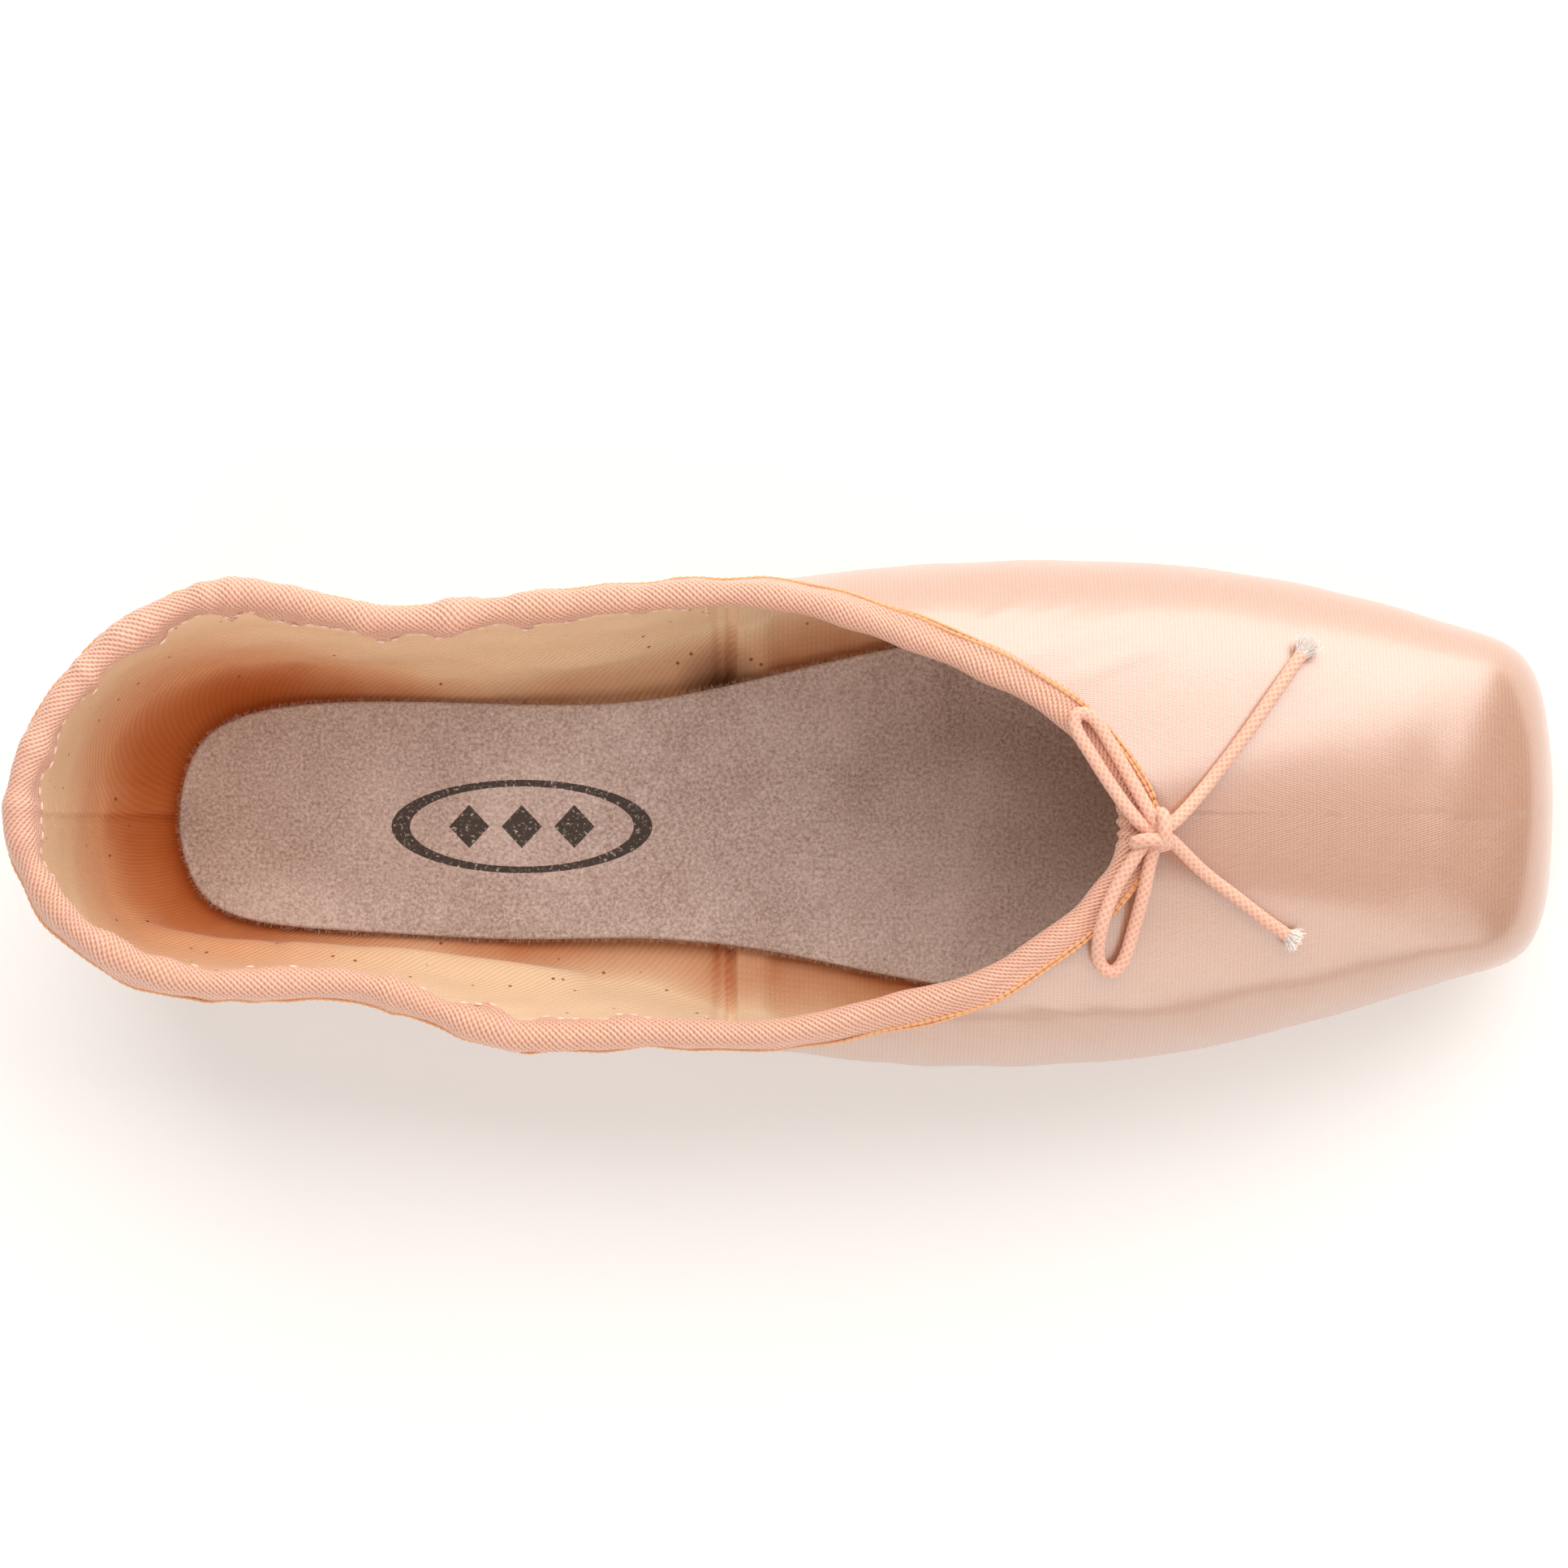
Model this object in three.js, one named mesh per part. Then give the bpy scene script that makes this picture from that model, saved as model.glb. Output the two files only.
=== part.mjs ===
// A satin pointe shoe for either foot, standing empty on its leather outsole.
// Millimetres. +X points to the toe, +Y to the wearer's left, +Z up. The floor is z = 0, and the
// origin is on the floor, in the middle of the shoe's length and width.
//
// The upper is one skin between four closed lines that run round the shoe: the edge of the opening
// under the foot, the wall line half-way up the side, the shoulder above it, and the collar. Each
// station round the shoe joins the four with two conic arcs, so the same function gives the upper's
// outside, its inside and the binding that is folded over the collar.

import * as THREE from "three";
import { mergeVertices } from "three/addons/utils/BufferGeometryUtils.js";

// Driving dimensions. LENGTH is what the tables' shares count. It starts a little behind the heel,
// so MIDDLE, the share of it where the origin lies, is a little more than half.
const LENGTH = 231;
const MIDDLE = 0.5055;
const BALL_WIDTH = 75.8;
const THROAT_HEIGHT = 50;
const HEEL_HEIGHT = 52;
const QUARTER_HEIGHT = 41;
const BOX_HEIGHT = 34;

// Thicknesses and clearances.
const GAP = 0.3;
const TAPE_GAP = 0.35;
const QUARTER_WALL = 1.6;
const BOX_WALL = 2.8;
const STIFFENING = { start: 40, end: 85 };
const OUTSOLE_THICKNESS = 2.6;
const OUTSOLE_BEVEL = 0.7;
const INSOLE_THICKNESS = 2;
const INSOLE_CUP = 1.3;
const INSOLE_BED_INSET = 5;
const CORE_INSET = 0.5;
const TAPE_THICKNESS = 0.8;

// The tread: flat under the heel and the ball, raised at the arch, with a little spring at the toe.
const ARCH = { back: -58, front: 12, rise: 2 };
const TOE_SPRING = { start: 62, end: 98, rise: 1.2 };

// Binding: how far the folded tape reaches down the outside and the inside of the wall.
const TAPE_OUTSIDE = 3.8;
const TAPE_INSIDE = 5.5;

// Drawstring.
const CORD_DIAMETER = 2;
const CORD_SIDES = 8;
const KNOT_RADII = [2.6, 2.9, 2.0];

// Mesh fineness.
const STEPS_PER_STATION = 3;
const EDGE_STEPS = 5;
const WALL_STEPS = 8;
const BINDING_STEPS_PER_STATION = 3;
const OUTLINE_STEPS = 84;
const KNOT_STEPS = { around: 14, down: 10 };

// Numbers of the method: rounds that settle a spline's slopes, the step that finds a direction,
// steps that measure a length down the wall, and how near two points are to be one.
const SPLINE_ROUNDS = 40;
const PROBE = 0.01;
const MEASURE_STEPS = 60;
const MERGE_DISTANCE = 1e-4;

// Tables. along is a share of the length in percent, 0 at the back of the heel and 100 at the toe.
// left and right are shares of the ball width in percent, both counted from the centre line, and a
// station on the centre line has the same side twice. Heights are millimetres above the floor.

// The wall line, half-way up the side.
const WALL = [
  { at: "platform",      along: 100.0, left: 0.8,  right: 0.8,   z: 17 },
  { at: "toe corner",    along: 98.8,  left: 27.4, right: -24.6, z: 17 },
  { at: "box front",     along: 94.8,  left: 36.0, right: -31.8, z: 17 },
  { at: "box side",      along: 89.0,  left: 41.3, right: -37.2, z: 17 },
  { at: "wing",          along: 82.0,  left: 46.2, right: -43.1, z: 17 },
  { at: "ball front",    along: 74.8,  left: 49.1, right: -47.8, z: 17 },
  { at: "ball",          along: 66.4,  left: 50.0, right: -50.0, z: 17 },
  { at: "ball back",     along: 57.8,  left: 48.8, right: -49.8, z: 17 },
  { at: "side seam",     along: 48.9,  left: 45.2, right: -46.2, z: 17 },
  { at: "waist front",   along: 40.4,  left: 38.4, right: -40.6, z: 17 },
  { at: "waist",         along: 31.8,  left: 34.6, right: -38.0, z: 17 },
  { at: "heel breast",   along: 23.6,  left: 33.8, right: -34.4, z: 17 },
  { at: "heel side",     along: 15.2,  left: 35.0, right: -32.4, z: 17 },
  { at: "heel quarter",  along: 8.2,   left: 29.4, right: -29.6, z: 18 },
  { at: "heel corner",   along: 4.3,   left: 16.4, right: -18.6, z: 18 },
  { at: "heel back",     along: 3.2,   left: -1.0, right: -1.0,  z: 18 },
];

// The arcs above and below the wall line, station by station. lean is how far the shoulder stands
// out past the wall line, shoulder and edge are the heights of the two arcs' corners, and the two
// tightness columns say how square the arcs are: 0.7 is round and 3 is nearly a corner.
const PROFILE = [
  { at: "platform",      lean: -1.5, shoulder: BOX_HEIGHT,          tight: 3.2, edge: 4.2, edgeTight: 3.0 },
  { at: "toe corner",    lean: -1.0, shoulder: BOX_HEIGHT,          tight: 2.3, edge: 4.2, edgeTight: 2.2 },
  { at: "box front",     lean: -0.6, shoulder: BOX_HEIGHT + 1,      tight: 1.8, edge: 4.0, edgeTight: 1.6 },
  { at: "box side",      lean: -0.4, shoulder: BOX_HEIGHT + 4,      tight: 1.4, edge: 3.8, edgeTight: 1.3 },
  { at: "wing",          lean: -0.2, shoulder: BOX_HEIGHT + 8,      tight: 1.1, edge: 3.4, edgeTight: 1.1 },
  { at: "ball front",    lean: 0,    shoulder: THROAT_HEIGHT - 5,   tight: 1.0, edge: 3.0, edgeTight: 1.0 },
  { at: "ball",          lean: 0,    shoulder: THROAT_HEIGHT - 8,   tight: 0.9, edge: 2.9, edgeTight: 1.0 },
  { at: "ball back",     lean: 0,    shoulder: QUARTER_HEIGHT - 3,  tight: 0.9, edge: 3.0, edgeTight: 1.1 },
  { at: "side seam",     lean: 1.0,  shoulder: QUARTER_HEIGHT - 9,  tight: 1.0, edge: 3.6, edgeTight: 1.4 },
  { at: "waist front",   lean: 3.6,  shoulder: QUARTER_HEIGHT - 11, tight: 1.0, edge: 4.4, edgeTight: 2.0 },
  { at: "waist",         lean: 4.4,  shoulder: QUARTER_HEIGHT - 11, tight: 1.0, edge: 4.6, edgeTight: 2.4 },
  { at: "heel breast",   lean: 3.8,  shoulder: QUARTER_HEIGHT - 10, tight: 1.0, edge: 3.8, edgeTight: 2.4 },
  { at: "heel side",     lean: 4.2,  shoulder: QUARTER_HEIGHT - 8,  tight: 1.0, edge: 3.0, edgeTight: 2.2 },
  { at: "heel quarter",  lean: 4.4,  shoulder: HEEL_HEIGHT - 18,    tight: 1.0, edge: 3.0, edgeTight: 2.0 },
  { at: "heel corner",   lean: 3.6,  shoulder: HEEL_HEIGHT - 17,    tight: 1.0, edge: 3.0, edgeTight: 1.9 },
  { at: "heel back",     lean: 3.4,  shoulder: HEEL_HEIGHT - 17,    tight: 1.0, edge: 3.0, edgeTight: 1.9 },
];

// The collar: the cut edge of the upper, from the throat back to the heel, station by station.
const COLLAR = [
  { at: "platform",     along: 72.0, left: -2.4, right: -2.4,  z: THROAT_HEIGHT },
  { at: "toe corner",   along: 71.8, left: 1.8,  right: -6.6,  z: THROAT_HEIGHT },
  { at: "box front",    along: 71.3, left: 6.2,  right: -11.0, z: THROAT_HEIGHT - 0.1 },
  { at: "box side",     along: 70.2, left: 11.2, right: -15.6, z: THROAT_HEIGHT - 0.4 },
  { at: "wing",         along: 68.5, left: 17.2, right: -21.0, z: THROAT_HEIGHT - 0.8 },
  { at: "ball front",   along: 65.8, left: 23.2, right: -27.0, z: THROAT_HEIGHT - 1.6 },
  { at: "ball",         along: 62.0, left: 29.4, right: -33.8, z: THROAT_HEIGHT - 3 },
  { at: "ball back",    along: 56.9, left: 36.0, right: -38.0, z: THROAT_HEIGHT - 5 },
  { at: "side seam",    along: 49.4, left: 42.9, right: -43.2, z: QUARTER_HEIGHT + 1.8 },
  { at: "waist front",  along: 40.6, left: 42.7, right: -43.4, z: QUARTER_HEIGHT + 0.4 },
  { at: "waist",        along: 31.8, left: 40.4, right: -43.2, z: QUARTER_HEIGHT },
  { at: "heel breast",  along: 23.6, left: 39.0, right: -34.2, z: QUARTER_HEIGHT + 2 },
  { at: "heel side",    along: 14.8, left: 43.4, right: -33.9, z: QUARTER_HEIGHT + 5.6 },
  { at: "heel quarter", along: 7.2,  left: 31.8, right: -27.0, z: HEEL_HEIGHT - 2.4 },
  { at: "heel corner",  along: 3.0,  left: 15.4, right: -13.8, z: HEEL_HEIGHT - 0.4 },
  { at: "heel back",    along: 1.6,  left: 0.4,  right: 0.4,   z: HEEL_HEIGHT },
];

// The edge of the opening that the outsole closes, station by station.
const OPENING = [
  { at: "platform",     along: 87.0, left: 0.5,  right: 0.5 },
  { at: "toe corner",   along: 86.2, left: 10.0, right: -8.8 },
  { at: "box front",    along: 84.0, left: 17.0, right: -15.4 },
  { at: "box side",     along: 80.8, left: 21.8, right: -20.2 },
  { at: "wing",         along: 76.8, left: 25.4, right: -24.4 },
  { at: "ball front",   along: 71.6, left: 27.6, right: -27.2 },
  { at: "ball",         along: 65.0, left: 28.4, right: -28.4 },
  { at: "ball back",    along: 57.4, left: 25.8, right: -26.4 },
  { at: "side seam",    along: 49.0, left: 19.4, right: -20.6 },
  { at: "waist front",  along: 40.4, left: 13.8, right: -16.0 },
  { at: "waist",        along: 31.8, left: 11.6, right: -14.6 },
  { at: "heel breast",  along: 23.6, left: 11.8, right: -14.2 },
  { at: "heel side",    along: 18.2, left: 11.8, right: -13.8 },
  { at: "heel quarter", along: 15.0, left: 9.8,  right: -12.0 },
  { at: "heel corner",  along: 13.2, left: 5.6,  right: -7.8 },
  { at: "heel back",    along: 12.6, left: -1.2, right: -1.2 },
];

// Outline of the leather outsole, which laps over the edge of the opening.
const OUTSOLE = [
  { along: 91.4, left: 0.6,  right: 0.6 },
  { along: 90.0, left: 13.0, right: -11.8 },
  { along: 86.0, left: 23.4, right: -21.6 },
  { along: 79.0, left: 31.4, right: -30.2 },
  { along: 70.5, left: 35.4, right: -35.2 },
  { along: 62.0, left: 34.8, right: -35.4 },
  { along: 53.5, left: 29.0, right: -30.6 },
  { along: 45.0, left: 21.8, right: -24.0 },
  { along: 36.0, left: 17.6, right: -20.4 },
  { along: 27.0, left: 17.0, right: -19.6 },
  { along: 18.5, left: 18.4, right: -20.4 },
  { along: 12.0, left: 15.6, right: -18.0 },
  { along: 9.0,  left: 8.0,  right: -10.6 },
  { along: 8.2,  left: -1.2, right: -1.2 },
];

// Outline of the suede insole.
const INSOLE = [
  { along: 91.6, left: 0.8,  right: 0.8 },
  { along: 90.0, left: 15.6, right: -14.0 },
  { along: 85.0, left: 26.2, right: -24.0 },
  { along: 76.0, left: 34.4, right: -33.2 },
  { along: 66.5, left: 36.2, right: -36.0 },
  { along: 57.5, left: 33.0, right: -33.0 },
  { along: 49.5, left: 27.6, right: -28.0 },
  { along: 41.0, left: 22.4, right: -25.2 },
  { along: 32.5, left: 21.6, right: -25.4 },
  { along: 24.0, left: 22.2, right: -24.2 },
  { along: 17.0, left: 21.0, right: -22.6 },
  { along: 12.6, left: 16.4, right: -18.6 },
  { along: 10.8, left: 8.2,  right: -10.6 },
  { along: 10.3, left: -1.6, right: -1.6 },
];

// Routes of the drawstring, tied in a bow on the throat. along and side are counted as above,
// and z is the middle of the cord.
const KNOT = { along: 73.2, side: -3.6, z: 53.1 };
const LOOP_LEFT = [
  { along: 71.9, side: -0.4, z: 52.9 },
  { along: 70.6, side: 5.0,  z: 52.4 },
  { along: 69.3, side: 11.2, z: 52.1 },
  { along: 68.3, side: 16.4, z: 51.7 },
  { along: 68.4, side: 19.2, z: 51.4 },
  { along: 69.4, side: 18.4, z: 51.3 },
  { along: 70.6, side: 12.8, z: 51.5 },
  { along: 71.9, side: 5.8,  z: 52.0 },
  { along: 72.9, side: 0.4,  z: 52.8 },
];
const LOOP_RIGHT = [
  { along: 72.2, side: -7.4,  z: 52.9 },
  { along: 70.8, side: -14.3, z: 52.3 },
  { along: 69.9, side: -22.1, z: 51.6 },
  { along: 69.8, side: -28.1, z: 49.3 },
  { along: 70.6, side: -30.6, z: 48.3 },
  { along: 71.4, side: -28.1, z: 48.4 },
  { along: 72.0, side: -22.1, z: 49.2 },
  { along: 72.6, side: -15.1, z: 51.1 },
  { along: 73.0, side: -9.0,  z: 52.0 },
];
const END_LEFT = [
  { along: 74.4, side: -1.8, z: 52.2 },
  { along: 75.6, side: 1.8,  z: 50.2 },
  { along: 77.0, side: 6.8,  z: 48.0 },
  { along: 79.0, side: 14.6, z: 46.4 },
  { along: 80.9, side: 22.6, z: 44.2 },
  { along: 82.8, side: 30.6, z: 41.0 },
];
const END_RIGHT = [
  { along: 74.4, side: -5.4,  z: 52.0 },
  { along: 76.4, side: -11.2, z: 48.5 },
  { along: 78.4, side: -15.8, z: 46.7 },
  { along: 80.2, side: -20.0, z: 45.0 },
  { along: 81.8, side: -23.4, z: 43.4 },
];

const satin = new THREE.MeshStandardMaterial({ color: 0xf2cdb9, roughness: 0.42, metalness: 0 });
const twill = new THREE.MeshStandardMaterial({ color: 0xe9ab92, roughness: 0.75, metalness: 0 });
const suede = new THREE.MeshStandardMaterial({ color: 0xb1978e, roughness: 0.95, metalness: 0 });
const leather = new THREE.MeshStandardMaterial({ color: 0xcfa885, roughness: 0.7, metalness: 0 });
const cotton = new THREE.MeshStandardMaterial({ color: 0xf2c4ae, roughness: 0.85, metalness: 0 });

const mix = (a, b, share) => a + (b - a) * share;
const alongX = (percent) => (percent / 100 - MIDDLE) * LENGTH;
const sideY = (percent) => (percent / 100) * BALL_WIDTH;

// 0 before start, 1 after end, and a smooth change between.
function ease(value, start, end) {
  const share = THREE.MathUtils.clamp((value - start) / (end - start), 0, 1);
  return share * share * (3 - 2 * share);
}

// Height of the outsole's tread above the floor at x.
function treadHeight(x) {
  const share = THREE.MathUtils.clamp((x - ARCH.back) / (ARCH.front - ARCH.back), 0, 1);
  const arch = ARCH.rise * Math.sin(Math.PI * share) ** 2;
  return arch + TOE_SPRING.rise * ease(x, TOE_SPRING.start, TOE_SPRING.end);
}

// Underside of the upper where it is turned in over the outsole.
const turnInHeight = (x) => treadHeight(x) + OUTSOLE_THICKNESS + GAP;

// Thickness of the upper: two layers of cloth at the quarters, stiffened layers in the box.
function wallThickness(x) {
  return mix(QUARTER_WALL, BOX_WALL, ease(x, STIFFENING.start, STIFFENING.end));
}

// The points of a table as one closed ring: the toe, the left side, the heel, the right side.
function ring(rows, place) {
  const last = rows.length - 1;
  const left = rows.map((row) => place(row, row.left));
  const right = rows.slice(1, last).map((row) => place(row, row.right));
  return [...left, ...right.reverse()];
}

// The closed cubic spline through a ring of points, as a function of the station number. Its
// curvature is continuous, so light runs along the skin without a break at the stations.
function closedSpline(points) {
  const count = points.length;
  const at = (i) => points[(i + count) % count];
  const slopes = points.map(() => new THREE.Vector3());
  for (let round = 0; round < SPLINE_ROUNDS; round++) {
    slopes.forEach((slope, i) => {
      slope.subVectors(at(i + 1), at(i - 1)).multiplyScalar(3);
      slope.sub(slopes[(i + count - 1) % count]).sub(slopes[(i + 1) % count]);
      slope.multiplyScalar(0.25);
    });
  }
  return (station) => {
    const i = Math.floor(station);
    const t = station - i;
    const point = at(i % count).clone().multiplyScalar((1 + 2 * t) * (1 - t) ** 2);
    point.addScaledVector(at((i + 1) % count), t * t * (3 - 2 * t));
    point.addScaledVector(slopes[i % count], t * (1 - t) ** 2);
    return point.addScaledVector(slopes[(i + 1) % count], t * t * (t - 1));
  };
}

const wallLine = closedSpline(ring(WALL, (row, side) => {
  return new THREE.Vector3(alongX(row.along), sideY(side), row.z);
}));
const collarLine = closedSpline(ring(COLLAR, (row, side) => {
  return new THREE.Vector3(alongX(row.along), sideY(side), row.z);
}));
const openingLine = closedSpline(ring(OPENING, (row, side) => {
  return new THREE.Vector3(alongX(row.along), sideY(side), turnInHeight(alongX(row.along)));
}));
const shoulderColumns = closedSpline(ring(PROFILE, (row) => {
  return new THREE.Vector3(row.lean, row.shoulder, row.edge);
}));
const tightColumns = closedSpline(ring(PROFILE, (row) => {
  return new THREE.Vector3(row.tight, row.edgeTight, 0);
}));
const STATIONS = 2 * (WALL.length - 1);

// A conic arc from one point to another, pulled towards a corner. pull 0.7 is an ellipse.
function conic(from, corner, to, pull, t) {
  const shares = [(1 - t) ** 2, 2 * t * (1 - t) * pull, t * t];
  const point = from.clone().multiplyScalar(shares[0]);
  point.addScaledVector(corner, shares[1]).addScaledVector(to, shares[2]);
  return point.divideScalar(shares[0] + shares[1] + shares[2]);
}

// Outside of the upper. rise runs from 0 at the opening's edge, through 1 at the wall line, to 2
// at the collar.
function skin(station, rise) {
  const around = (station + STATIONS) % STATIONS;
  const wall = wallLine(around);
  const opening = openingLine(around);
  const { x: lean, y: shoulderZ, z: edgeZ } = shoulderColumns(around);
  const { x: tight, y: edgeTight } = tightColumns(around);
  const out = new THREE.Vector3(wall.x - opening.x, wall.y - opening.y, 0).normalize();
  if (rise >= 1) {
    const shoulder = wall.clone().addScaledVector(out, lean).setZ(shoulderZ);
    return conic(wall, shoulder, collarLine(around), tight, rise - 1);
  }
  const back = (lean * (wall.z - edgeZ)) / (shoulderZ - wall.z);
  const edge = wall.clone().addScaledVector(out, -back).setZ(edgeZ);
  return conic(opening, edge, wall, edgeTight, rise);
}

// Direction that points out of the skin.
function outward(station, rise) {
  const low = Math.max(rise - PROBE, 0);
  const high = Math.min(rise + PROBE, 2);
  const around = skin(station + PROBE, rise).sub(skin(station - PROBE, rise));
  const up = skin(station, high).sub(skin(station, low));
  return around.cross(up).normalize();
}

// Inside of the upper.
function lining(station, rise) {
  const point = skin(station, rise);
  return point.addScaledVector(outward(station, rise), -wallThickness(point.x));
}

// One closed mesh from a grid of points that wraps round both ways.
function wrappedGrid(rows) {
  const columns = rows[0].length;
  const positions = rows.flat().flatMap((point) => point.toArray());
  const index = [];
  rows.forEach((_, i) => {
    const next = (i + 1) % rows.length;
    for (let j = 0; j < columns; j++) {
      const across = (j + 1) % columns;
      const [a, b] = [i * columns + j, i * columns + across];
      const [c, d] = [next * columns + across, next * columns + j];
      index.push(a, c, b, a, d, c);
    }
  });
  return closedMesh(positions, index);
}

// A geometry from raw corners, with doubled points merged.
function closedMesh(positions, index) {
  const geometry = new THREE.BufferGeometry();
  geometry.setAttribute("position", new THREE.Float32BufferAttribute(positions, 3));
  geometry.setIndex(index);
  return mergeVertices(geometry, MERGE_DISTANCE);
}

// A named subcomponent.
function node(name, geometry, material) {
  const mesh = new THREE.Mesh(geometry, material);
  mesh.name = name;
  return mesh;
}

// The upper: up the outside from the opening to the collar, and down the inside again.
function upper() {
  const count = STATIONS * STEPS_PER_STATION;
  const rises = [];
  for (let i = 0; i <= EDGE_STEPS; i++) rises.push(i / EDGE_STEPS);
  for (let i = 1; i <= WALL_STEPS; i++) rises.push(1 + i / WALL_STEPS);
  const rows = [];
  for (let i = 0; i < count; i++) {
    const station = i / STEPS_PER_STATION;
    const outside = rises.map((rise) => skin(station, rise));
    const inside = rises.map((rise) => lining(station, rise)).reverse();
    rows.push([...outside, ...inside]);
  }
  return node("upper", wrappedGrid(rows), satin);
}

// How far up the wall the skin is when it is that many millimetres below the collar.
function riseBelowCollar(station, distance) {
  let travelled = 0;
  let previous = skin(station, 2);
  for (let i = 1; i <= MEASURE_STEPS; i++) {
    const point = skin(station, 2 - i / MEASURE_STEPS);
    const piece = point.distanceTo(previous);
    if (travelled + piece >= distance) {
      return 2 - (i - 1 + (distance - travelled) / piece) / MEASURE_STEPS;
    }
    travelled += piece;
    previous = point;
  }
  return 1;
}

// The binding: a twill tape folded over the collar, cut from the upper's own skin.
function binding() {
  const near = TAPE_GAP;
  const far = TAPE_GAP + TAPE_THICKNESS;
  const rows = [];
  const count = STATIONS * BINDING_STEPS_PER_STATION;
  for (let i = 0; i < count; i++) {
    const station = i / BINDING_STEPS_PER_STATION;
    const face = (distance, stand, inside) => {
      const rise = riseBelowCollar(station, distance);
      const point = inside ? lining(station, rise) : skin(station, rise);
      return point.addScaledVector(outward(station, rise), inside ? -stand : stand);
    };
    const edge = skin(station, 2).add(lining(station, 2)).multiplyScalar(0.5);
    const half = skin(station, 2).distanceTo(lining(station, 2)) / 2;
    const out = outward(station, 2);
    const up = skin(station, 2).sub(skin(station, 2 - 2 * PROBE)).normalize();
    const roll = (radius, degrees) => {
      const angle = THREE.MathUtils.degToRad(degrees);
      const point = edge.clone().addScaledVector(out, radius * Math.cos(angle));
      return point.addScaledVector(up, radius * Math.sin(angle));
    };
    rows.push([
      face(TAPE_OUTSIDE, near, false),
      face(TAPE_OUTSIDE, far, false),
      face(TAPE_OUTSIDE / 2, far, false),
      ...[0, 45, 90, 135, 180].map((degrees) => roll(half + far, degrees)),
      face(TAPE_INSIDE / 2, far, true),
      face(TAPE_INSIDE, far, true),
      face(TAPE_INSIDE, near, true),
      face(TAPE_INSIDE / 2, near, true),
      ...[180, 90, 0].map((degrees) => roll(half + near, degrees)),
      face(TAPE_OUTSIDE / 2, near, false),
    ]);
  }
  return node("binding", wrappedGrid(rows), twill);
}

// The outline of a flat piece as a ring of points at even steps, drawn in by inset.
function outlineRing(table, inset) {
  const line = closedSpline(ring(table, (row, side) => {
    return new THREE.Vector3(alongX(row.along), sideY(side), 0);
  }));
  const stations = 2 * (table.length - 1);
  const points = [];
  for (let i = 0; i < OUTLINE_STEPS; i++) {
    const station = (i * stations) / OUTLINE_STEPS;
    const ahead = line((station + PROBE) % stations);
    const behind = line((station - PROBE + stations) % stations);
    const inward = new THREE.Vector3(behind.y - ahead.y, ahead.x - behind.x, 0).normalize();
    points.push(line(station).addScaledVector(inward, inset));
  }
  return points;
}

// A flat piece from rings of the same count, stacked from the bottom one to the top one. The ends
// are closed by strips from the left side to the right side.
function stack(rings) {
  const count = OUTLINE_STEPS;
  const index = [];
  const cap = (first, a, b, c) => index.push(first + a, first + b, first + c);
  for (let level = 0; level + 1 < rings.length; level++) {
    for (let i = 0; i < count; i++) {
      const [a, b] = [level * count + i, level * count + ((i + 1) % count)];
      index.push(a, b, b + count, a, b + count, a + count);
    }
  }
  const top = (rings.length - 1) * count;
  for (let i = 0; i < count / 2; i++) {
    const [left, right] = [i, (count - i) % count];
    const [nextLeft, nextRight] = [i + 1, count - i - 1];
    cap(0, left, right, nextLeft);
    cap(0, right, nextRight, nextLeft);
    cap(top, left, nextLeft, right);
    cap(top, right, nextLeft, nextRight);
  }
  const positions = rings.flat().flatMap((point) => point.toArray());
  return closedMesh(positions, index.filter((_, i, all) => {
    const corner = i - (i % 3);
    const [a, b, c] = [all[corner], all[corner + 1], all[corner + 2]];
    return a !== b && b !== c && a !== c;
  }));
}

// A ring of points lifted to a height that may change along the shoe.
const lifted = (points, height) => points.map((point) => point.clone().setZ(height(point.x)));

// The outsole, with a bevelled tread edge.
function outsole() {
  const full = outlineRing(OUTSOLE, 0);
  return node("outsole", stack([
    lifted(outlineRing(OUTSOLE, OUTSOLE_BEVEL), treadHeight),
    lifted(full, (x) => treadHeight(x) + OUTSOLE_BEVEL),
    lifted(full, (x) => treadHeight(x) + OUTSOLE_THICKNESS),
  ]), leather);
}

// The insole: a suede plate, cupped at the edge, that rests on the turned-in upper, with a core that
// fills the opening.
function insole() {
  const core = outlineRing(OPENING, CORE_INSET);
  const plate = outlineRing(INSOLE, 0);
  const bed = outlineRing(INSOLE, INSOLE_BED_INSET);
  const plateUnder = (x) => turnInHeight(x) + wallThickness(x) + GAP;
  return node("insole", stack([
    lifted(core, turnInHeight),
    lifted(core, plateUnder),
    lifted(plate, (x) => plateUnder(x) + INSOLE_CUP),
    lifted(plate, (x) => plateUnder(x) + INSOLE_CUP + INSOLE_THICKNESS / 2),
    lifted(bed, (x) => plateUnder(x) + INSOLE_THICKNESS),
  ]), suede);
}

// A round cord along a route.
function cord(name, route) {
  const points = route.map((row) => new THREE.Vector3(alongX(row.along), sideY(row.side), row.z));
  const path = new THREE.CatmullRomCurve3(points);
  const circle = new THREE.Shape();
  circle.absarc(0, 0, CORD_DIAMETER / 2, 0, 2 * Math.PI);
  const steps = Math.round(path.getLength() / CORD_DIAMETER) + 2;
  const geometry = new THREE.ExtrudeGeometry(circle, {
    extrudePath: path,
    steps,
    curveSegments: CORD_SIDES,
    bevelEnabled: false,
  });
  return node(name, geometry, cotton);
}

// The knot: a flattened ball at the throat that the loops and ends come out of.
function knot() {
  const geometry = new THREE.SphereGeometry(1, KNOT_STEPS.around, KNOT_STEPS.down);
  geometry.scale(...KNOT_RADII);
  geometry.translate(alongX(KNOT.along), sideY(KNOT.side), KNOT.z);
  return node("drawstring_knot", geometry, cotton);
}

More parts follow.
